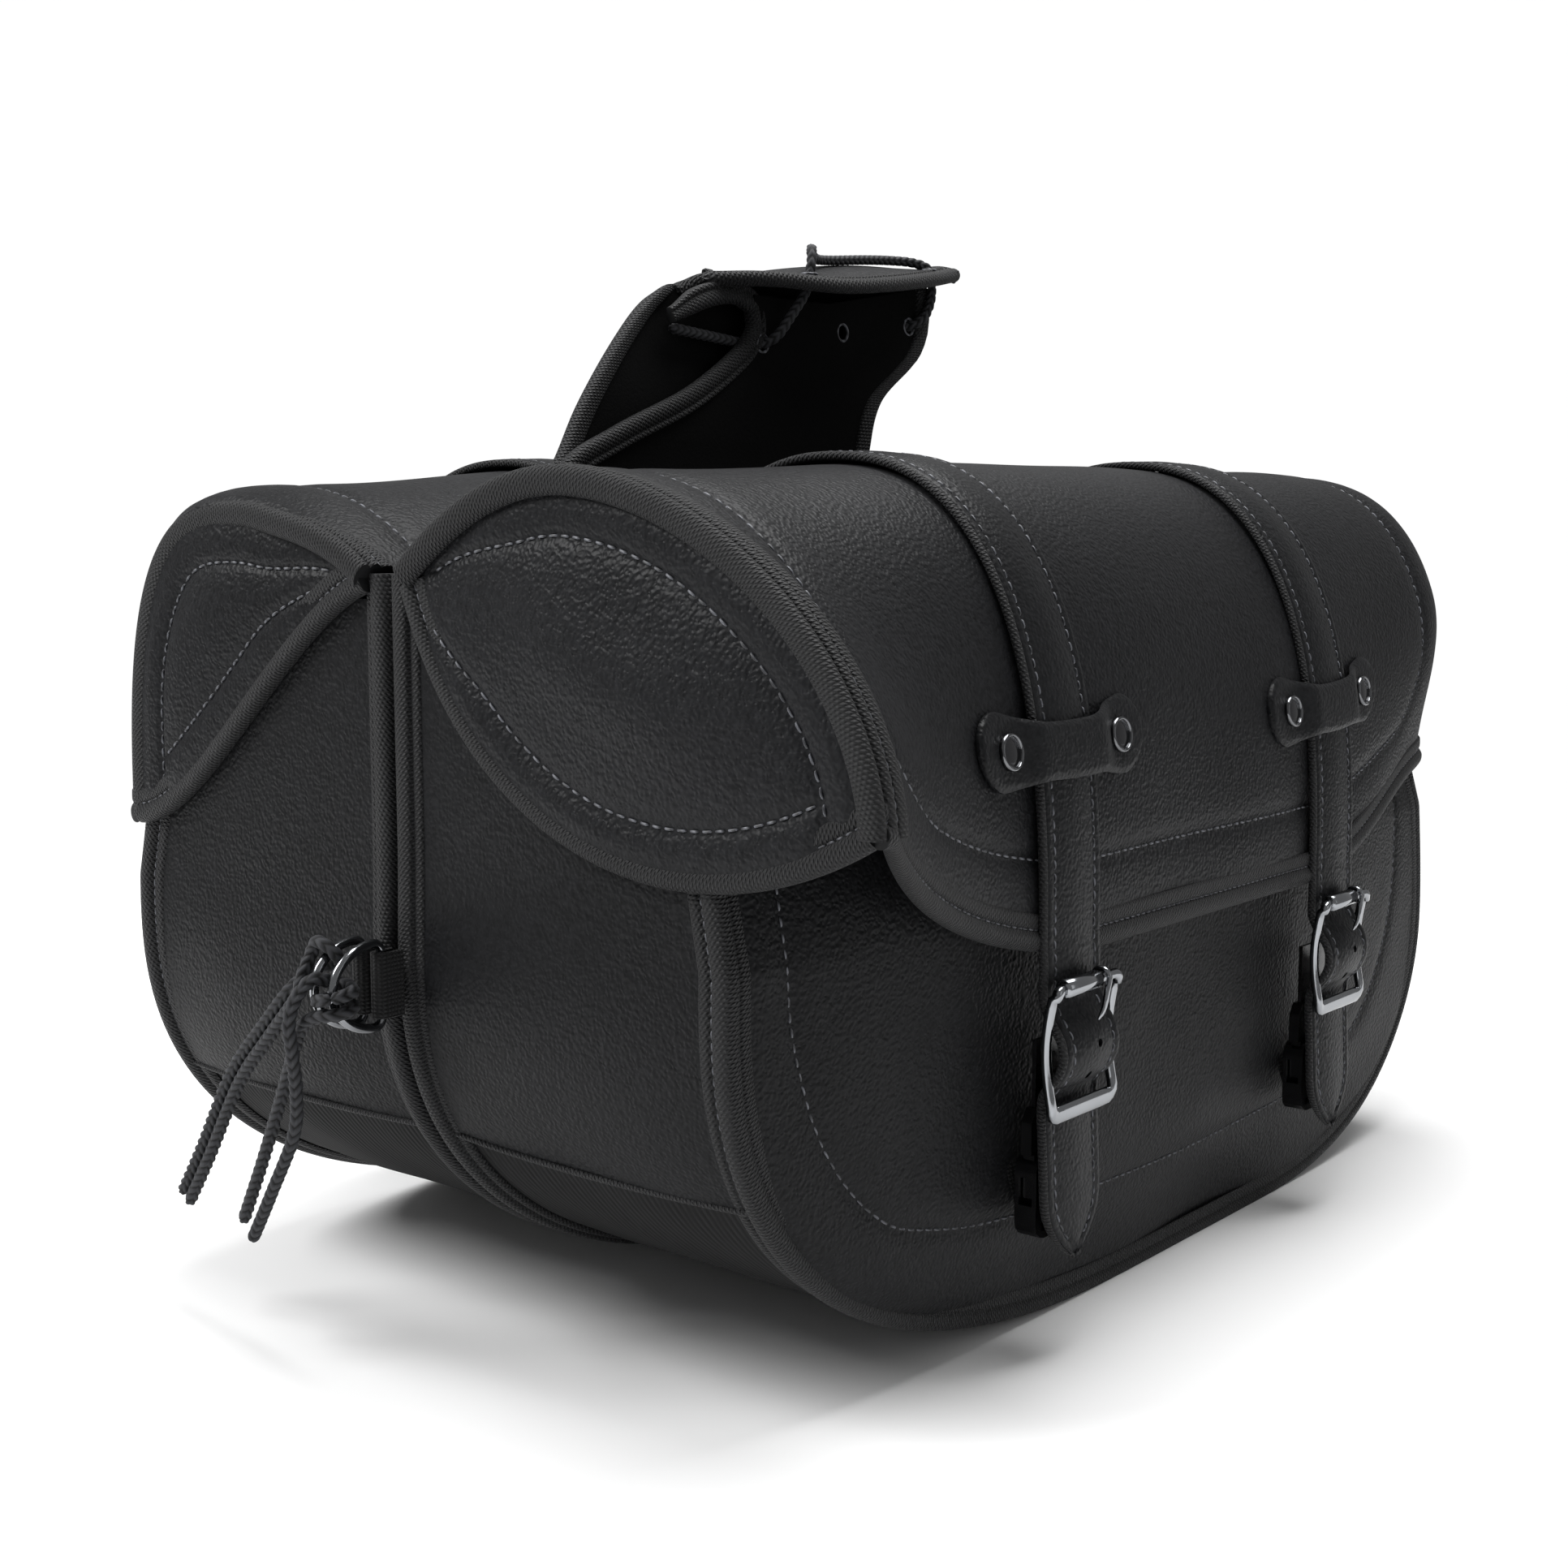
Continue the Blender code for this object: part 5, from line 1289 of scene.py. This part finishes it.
def build_buckle(side, word, place, y):
    body = f"strap_tail_{place}_{word}_body"
    bend = BUCKLE_BEND
    low, high = BUCKLE_BOTTOM, BUCKLE_TOP
    heights = np.linspace(low + bend, high - bend, 16)
    corner = np.radians(np.linspace(15, 75, 5))
    flat_x = BUCKLE_X - 1.6

    # One half of the frame as (x, distance from the middle, height, width, thickness), bottom to top
    half = [(flat_x, s, low - 0.6, 3.0, 1.3) for s in np.linspace(0.0, BUCKLE_HALF - 3.0, 5)]
    half += [(flat_x, BUCKLE_HALF - 1.4, low - 0.2, 2.6, 1.4)]
    half += [(flat_x + 0.3, BUCKLE_HALF - 0.3, low + 1.2, 1.9, 1.5)]
    half += [(x, BUCKLE_HALF, z, BUCKLE_WIRE, BUCKLE_WIRE) for x, z in side_bar(heights)]
    half += [
        (BUCKLE_X, BUCKLE_HALF - bend * (1 - cos(t)), high - bend + bend * sin(t), 1.75, 1.75)
        for t in corner
    ]
    half += [(BUCKLE_X, s, high, 1.5, 1.5) for s in np.linspace(BUCKLE_HALF - bend, 0.0, 5)]
    half = np.array(half)
    loop = np.concatenate([half * (1, -1, 1, 1, 1), half[-2:0:-1]])
    path = loop[:, :3] + (0.0, y, 0.0)
    ahead = unit(np.roll(path, -1, axis=0) - np.roll(path, 1, axis=0))
    across = unit(np.cross(ahead, X_AXIS))
    through = np.cross(ahead, across)
    turns = 2 * pi * np.arange(14) / 14
    round_section = np.stack([np.cos(turns), np.sin(turns)], axis=1)
    soft_square = np.sign(round_section) * np.abs(round_section) ** 0.8
    points = (
        path[:, None]
        + loop[:, 3][:, None, None] * soft_square[None, :, :1] * across[:, None]
        + loop[:, 4][:, None, None] * soft_square[None, :, 1:] * through[:, None]
    )
    frame_shape = Shape(points, tube_faces(len(path), 14, closed=True))
    left, right = y - BUCKLE_HALF + 3.6, y + PRONG_OFFSET - 3.2
    ends = [(left, 0.82), (left + 0.5, 1.0), (right - 0.5, 1.0), (right, 0.82)]
    line = np.array([(BUCKLE_X, at, high) for at, _ in ends])
    sizes = [size for _, size in ends]
    roller = ribbon(line, X_AXIS, Z_AXIS, circle(ROLLER_RADIUS, 24), sizes=sizes)
    roller.run = None
    shape = joined([frame_shape, roller])
    node = f"buckle_frame_{place}_{word}"
    piece(f"buckle_{place}_{word}", shape, "chrome", body, side, [node], 60)

    reach = 2.95
    path = [(BUCKLE_X + 1.6, high - 3.6 - PRONG_LENGTH), (BUCKLE_X + 2.6, high - PRONG_LENGTH)]
    path.append((BUCKLE_X + reach, high - 3.6))
    path += [(BUCKLE_X + reach * cos(t), high + reach * sin(t)) for t in np.radians(np.arange(0, 250, 15))]
    lean = [-PRONG_LEAN, -0.6 * PRONG_LEAN, -0.3 * PRONG_LEAN] + [0.0] * len(path)
    path = curve_through([(x, y + PRONG_OFFSET + aside, z) for (x, z), aside in zip(path, lean)], 48)
    wire = np.interp(np.arange(48), (0, 3, 12, 47), (0.35, 0.75, 1.0, 1.0))
    first, second = frames(path)
    prong = ribbon(path, first, second, circle(PRONG_WIRE, 12), sizes=wire)
    prong.run = None
    piece(
        f"prong_{place}_{word}", prong, "chrome", f"buckle_prong_{place}_{word}_body", side,
        [f"buckle_prong_{place}_{word}"], 60,
    )


def finish_clip(side, word, place, y):
    """The CAD's clip halves get rounded edges and gloss; a woven loop holds the lower half to the bag."""
    for half in ("socket", "plug"):
        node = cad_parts[f"clip_{half}_{place}_{word}"]
        node.data.materials.clear()
        node.data.materials.append(LOOKS["plastic"])
        round_edges = node.modifiers.new("Round", "BEVEL")
        round_edges.width = 0.0006
        round_edges.segments = 2
        round_edges.limit_method = "ANGLE"
        round_edges.angle_limit = radians(40)
    band = [(CLIP_X - 3.0, 43.4), (CLIP_X - 3.6, 50.0), (CLIP_X - 6.0, 57.0), (CLIP_X - 7.6, 64.0)]
    line = curve_through([(x, y, z) for x, z in band], 20)
    line[:, 0] -= 1.2
    out = unit(np.cross(Y_AXIS, np.gradient(line, axis=0)))
    profile = rounded_profile([(-10.0, -0.7), (-10.0, 0.7), (10.0, 0.7), (10.0, -0.7)], 2)
    piece(
        f"clip_loop_{place}_{word}", ribbon(line, Y_AXIS, out, profile), "webbing", "bags", side,
    )


# ---------------------------------------------------------------- rings, cords and yoke


def build_ring(side, word):
    bend = RING_BEND
    straight = RING_HALF - bend
    corner = np.radians((20, 45, 70))
    loop = [(RING_Y, z) for z in np.linspace(-straight, straight, 10)]
    loop += [(RING_Y - bend * (1 - cos(t)), straight + bend * sin(t)) for t in corner]
    for turn in np.linspace(pi / 2, -pi / 2, 30):
        loop.append((RING_Y - bend - (RING_DEPTH - bend) * cos(turn), RING_HALF * sin(turn)))
    loop += [(RING_Y - bend * (1 - cos(t)), -straight - bend * sin(t)) for t in corner[::-1]]
    path = np.array([(RING_X, y, RING_Z + z) for y, z in loop])
    ahead = unit(np.roll(path, -1, axis=0) - np.roll(path, 1, axis=0))
    wire = circle(RING_WIRE, 16)
    shape = ribbon(path, X_AXIS, np.cross(ahead, X_AXIS), wire, closed=True)
    shape.run = None
    piece(f"ring_{word}", shape, "chrome", f"ring_{word}_body", side, [f"d_ring_{word}"], 60)

    middle = RING_WIRE + GAP + WEBBING / 2
    turns = np.linspace(0, pi, 17)
    path = [(RING_X + middle, LOOP_START_Y, RING_Z), (RING_X + middle, RING_Y + 4, RING_Z)]
    path += [(RING_X + middle * cos(t), RING_Y - middle * sin(t), RING_Z) for t in turns]
    path += [(RING_X - middle, RING_Y + 4, RING_Z), (RING_X - middle, LOOP_START_Y, RING_Z)]
    path = np.array(path)
    out = unit(np.cross(np.gradient(path, axis=0), Z_AXIS))
    edge, thick = LOOP_HALF - 0.4, WEBBING / 2
    profile = [(s, thick + 0.22 * cos(s * 2 * pi / 2.6)) for s in np.linspace(-edge, edge, 33)]
    profile += [(LOOP_HALF, 0.0), (edge, -thick), (-edge, -thick), (-LOOP_HALF, 0.0)]
    shape = ribbon(path, Z_AXIS, out, profile)
    piece(f"loop_{word}", shape, "webbing", "bags", side, [f"ring_loop_{word}"])


def braided(name, line, radius, body, node):
    """A cord whose strands cross in chevrons: the surface rises and falls with the braid."""
    length = run_along(line)[-1]
    count = int(length / 0.42)
    path = spaced(line, count)
    first, second = frames(path)
    run = run_along(path)
    sides = 28
    turns = 2 * pi * np.arange(sides) / sides
    strand = radius * 1.6
    fold = np.abs(((turns / (2 * pi) * BRAID_STRANDS) % 1.0) - 0.5) * 2
    phase = run[:, None] / strand + fold[None, :] * BRAID_SLANT
    plump = np.abs(np.sin(pi * phase)) ** 0.8
    furrow = np.minimum(fold, 1 - fold) * 2
    height = radius * (0.7 + 0.32 * plump * (0.45 + 0.55 * np.clip(furrow * 2.2, 0, 1)))
    tip = np.minimum(run, run[-1] - run) / radius
    height *= np.sqrt(np.clip(1 - (1 - np.clip(tip, 0.04, 1.0)) ** 2, 0, 1))[:, None]
    points = (
        path[:, None]
        + (height * np.cos(turns))[..., None] * first[:, None]
        + (height * np.sin(turns))[..., None] * second[:, None]
    )
    faces, uv = tube_faces(count, sides), []
    for u, w in zip(run / strand, run[1:] / strand):
        for k in range(sides):
            a, b = k / sides, (k + 1) / sides
            uv.append(((u, a), (u, b), (w, b), (w, a)))
    for start, order in ((0, 1), ((count - 1) * sides, -1)):
        faces.append(tuple(range(start, start + sides))[::order])
        uv.append(tuple((0.0, 0.0) for _ in range(sides)))
    made = piece(name, Shape(points, faces, uv), "cord", body, 1, [node], 80)
    return made


def both_faces(rows, thick):
    down = np.gradient(rows, axis=0)
    along = np.gradient(rows, axis=1)
    normal = unit(np.cross(down, along))
    return rows + normal * thick / 2, rows - normal * thick / 2, normal


def punched(made, places, axis, radius):
    """Round lacing holes cut through a panel."""
    cutters = []
    for k, place in enumerate(places):
        middle = np.array(place)
        line = np.array([middle - np.array(axis) * 6, middle + np.array(axis) * 6])
        shape = ribbon(line, Y_AXIS, np.cross(axis, Y_AXIS), circle(radius, 20))
        cutters.append(piece(f"{made.name}_hole_{k}", shape, "suede", None))
    drill(made, cutters)


def rim(name, place, axis, radius):
    """A stitched rim round a lacing hole."""
    axis = np.array(axis, float)
    first = np.array(Y_AXIS)
    second = np.cross(axis, first)
    turns = 2 * pi * np.arange(28) / 28
    out = np.cos(turns)[:, None] * first + np.sin(turns)[:, None] * second
    path = np.array(place) + out * radius + axis * (YOKE / 2)
    shape = ribbon(path, out, np.tile(axis, (28, 1)), circle(0.55, 8), closed=True)
    piece(name, shape, "thread", "bags")


def bound(name, path, inward, up, sizes=None):
    """Binding round an edge of the yoke, set in by its own thickness."""
    tape(name, path + inward * YOKE_BINDING_INSET, inward, up, THIN_BINDING, "bags", 1, sizes)


def evened(values, path, count=150, passes=7):
    """Values given along a path, read off at even steps and smoothed, with both ends kept."""
    run = run_along(path)
    steps = np.linspace(0.0, run[-1], count)
    values = np.stack([np.interp(steps, run, column) for column in values.T], axis=1)
    for _ in range(passes):
        values[1:-1] = (values[:-2] + 2 * values[1:-1] + values[2:]) / 4
    return values


def build_yoke():
    rows = []
    for z, front, rear, x in curve_through(LEFT_YOKE, 50):
        rows.append([(x, y, z) for y in np.linspace(front, rear, 70)])
    fold = curve_through(YOKE_FOLD, 70)
    edge = curve_through(YOKE_EDGE, 70)
    last = np.array(rows[-1])
    for share in (0.25, 0.5, 0.75):
        rows.append(last + (fold - (1.2, 0.0, 1.5) - last) * share - (1.6 * sin(pi * share), 0.0, 0.0))
    rows += [fold - (1.2, 0.0, 1.5), fold + (0.2, 0.0, 0.0), fold + (2.0, 0.0, -0.1)]
    for share in np.linspace(0.12, 1.0, 14):
        crown = np.array((0.0, 0.0, 1.1 * sin(pi * share)))
        rows.append(fold + (edge - fold) * share + crown)
    rows = np.array(rows)
    wave = 0.5 * ripple(rows[..., 1:], 70.0, 51) * smooth((rows[..., 2] - 262.0) / 40.0)
    rows[..., 0] += wave * smooth((350.0 - rows[..., 2]) / 6.0)
    outer, inner, normal = both_faces(rows, YOKE)
    shape = sheet(outer, inner)
    left = piece("yoke_leather_left", shape, ("lid", "suede"), "bags", 1, ["yoke_panel_left"])
    punched(left, FLAP_HOLES, Z_AXIS, 2.7)
    side_rows, flap_rows = slice(14, -5), slice(2, None)
    path = np.concatenate([rows[side_rows, 0], rows[-1, flap_rows]])
    inward = np.concatenate(
        [unit(rows[side_rows, 3] - rows[side_rows, 0]), unit(rows[-3, flap_rows] - rows[-1, flap_rows])]
    )
    up = np.concatenate([normal[side_rows, 0], normal[-1, flap_rows]])
    path, inward, up = (evened(values, path) for values in (path, inward, up))
    bound("yoke_binding_left_front", path, unit(inward), unit(up))
    rear = rows[:, -1]
    bound("yoke_binding_left_rear", rear[14:], unit(rows[14:, -4] - rear[14:]), normal[14:, -1])

    rows = []
    for z, front_y, rear_y, x in curve_through(RIGHT_YOKE, 60):
        rows.append([(x, y, z) for y in np.linspace(front_y, rear_y, 64)])
    rows = np.array(rows)
    rearward = np.clip((rows[..., 1] + 20.0) / 65.0, 0.0, 1.0)
    rows[..., 2] += YOKE_LIFT * rearward * np.clip((rows[..., 2] - 330.0) / 17.0, 0.0, 1.0)
    wave = 0.6 * ripple(rows[..., 1:], 60.0, 52) * smooth((rows[..., 2] - 290.0) / 30.0)
    rows[..., 0] -= np.clip(wave, -0.4, 0.6)
    outer, inner, normal = both_faces(rows, YOKE)
    shape = sheet(outer, inner)
    right = piece("yoke_leather_right", shape, ("suede", "suede"), "bags", 1, ["yoke_panel_right"])
    punched(right, PANEL_HOLES, X_AXIS, 3.1)
    front = rows[rows[:, 0, 2] < 337.0][:, 0]
    curl = curve_through(YOKE_CURL, 30)
    path = spaced(np.concatenate([front[18:], curl]), 160)
    toward = unit(np.cross(np.gradient(path, axis=0), X_AXIS))
    taper = 0.65 + 0.35 * smooth((run_along(path)[-1] - run_along(path)) / 14.0)
    bound("yoke_binding_right_front", path, toward, np.tile(X_AXIS, (160, 1)), taper)
    bound("yoke_binding_right_rear", rows[18:, -1], unit(rows[18:, -4] - rows[18:, -1]), normal[18:, -1])
    for k, place in enumerate(PANEL_HOLES):
        rim(f"hole_rim_panel_{k}", place, X_AXIS, 3.2)
    for k, place in enumerate(FLAP_HOLES):
        rim(f"hole_rim_flap_{k}", (place[0], place[1], place[2] + 1.0), Z_AXIS, 2.8)


# ---------------------------------------------------------------- stage


CAMERA_PLACE = (0.50505, -0.6541, 0.26709)
CAMERA_AZIMUTH = 39.43
CAMERA_ELEVATION = 7.22
CAMERA_LENS = 48.22
FLOOR_RADIUS = 1.15
ROOM_LIGHT = 0.3  # of the surroundings, as the object meets them
BACKDROP_LIGHT = 1.02  # of the same surroundings seen straight by the camera: plain white

# Name, place and aim in metres, size in metres, power in watts
LIGHTS = (
    ("key", (-0.9, -1.2, 1.5), (0.05, 0.0, 0.15), (0.9, 0.9), 40.0),
    ("top", (0.1, 0.2, 1.6), (0.05, 0.0, 0.2), (1.1, 1.1), 34.0),
    ("side", (1.7, 0.1, 0.7), (0.1, 0.0, 0.15), (0.5, 1.0), 1.2),
)


def build_camera():
    data = bpy.data.cameras.new("camera")
    data.lens = CAMERA_LENS
    data.sensor_width = 36.0
    data.clip_start = 0.02
    data.clip_end = 50.0
    camera = bpy.data.objects.new("camera", data)
    turn, rise = radians(CAMERA_AZIMUTH), radians(CAMERA_ELEVATION)
    back = Vector((sin(turn) * cos(rise), -cos(turn) * cos(rise), sin(rise)))
    right = Vector((cos(turn), sin(turn), 0.0))
    up = back.cross(right)
    camera.matrix_world = Matrix.Translation(CAMERA_PLACE) @ Matrix((right, up, back)).transposed().to_4x4()
    bpy.context.scene.collection.objects.link(camera)
    bpy.context.scene.camera = camera


def area_light(name, place, aim, size, power):
    data = bpy.data.lights.new(name, "AREA")
    data.shape = "RECTANGLE"
    data.size, data.size_y = size
    data.energy = power
    lamp = bpy.data.objects.new(name, data)
    lamp.location = place
    lamp.rotation_euler = (Vector(aim) - Vector(place)).to_track_quat("-Z", "Y").to_euler()
    bpy.context.scene.collection.objects.link(lamp)


def build_stage():
    bpy.context.scene.view_settings.view_transform = "Standard"
    mesh = bpy.data.meshes.new("floor")
    turns = 2 * pi * np.arange(96) / 96
    edge = [(FLOOR_RADIUS * cos(t), FLOOR_RADIUS * sin(t), 0.0) for t in turns]
    mesh.from_pydata(edge, [], [tuple(range(96))])
    floor = bpy.data.objects.new("floor", mesh)
    floor.location = (0.0, 0.0, -0.0015)
    made, shader = new_material("pale_floor", (0.93, 0.93, 0.93), 0.9)
    n = Nodes(made, shader)
    n.colours(n.noise(n.place(), 3.0), (0.92, 0.92, 0.92), (0.94, 0.94, 0.94))
    mesh.materials.append(made)
    bpy.context.scene.collection.objects.link(floor)
    world = bpy.data.worlds.new("studio")
    world.use_nodes = True
    nodes, links = world.node_tree.nodes, world.node_tree.links
    background = nodes["Background"]
    background.inputs["Color"].default_value = (1.0, 1.0, 1.0, 1.0)
    strength = nodes.new("ShaderNodeMapRange")
    strength.inputs["To Min"].default_value = ROOM_LIGHT
    strength.inputs["To Max"].default_value = BACKDROP_LIGHT
    links.new(nodes.new("ShaderNodeLightPath").outputs["Is Camera Ray"], strength.inputs["Value"])
    links.new(strength.outputs["Result"], background.inputs["Strength"])
    bpy.context.scene.world = world
    for light in LIGHTS:
        area_light(*light)


def main():
    build_camera()
    braided("lace_cord", curve_through(LACE, 900), LACE_RADIUS, "bags", "yoke_lace")
    for word, route, knot in (("right", RIGHT_TIE, 11), ("left", LEFT_TIE, 10)):
        line = curve_through(route, 1200)
        middle = np.argmin(np.linalg.norm(line - np.array(route[knot]), axis=1))
        for tail, half in (("a", line[middle::-1]), ("b", line[middle:])):
            body, node = f"ring_{word}_body", f"tie_cord_{word}"
            braided(f"tie_{word}_{tail}", half, TIE_RADIUS, body, node)
    for side, word in BAGS:
        build_panels(side, word)
        build_gusset(side, word)
        build_body_bindings(side, word)
        build_lid_shell(side, word)
        for place, sign in ENDS:
            build_cap(side, word, place, sign)
            y = sign * STRAP_Y
            build_strap(side, word, place, y)
            build_keeper(side, word, place, y)
            build_buckle(side, word, place, y)
            finish_clip(side, word, place, y + CLIP_OFFSET)
        build_ring(side, word)
    build_yoke()
    build_stage()


main()
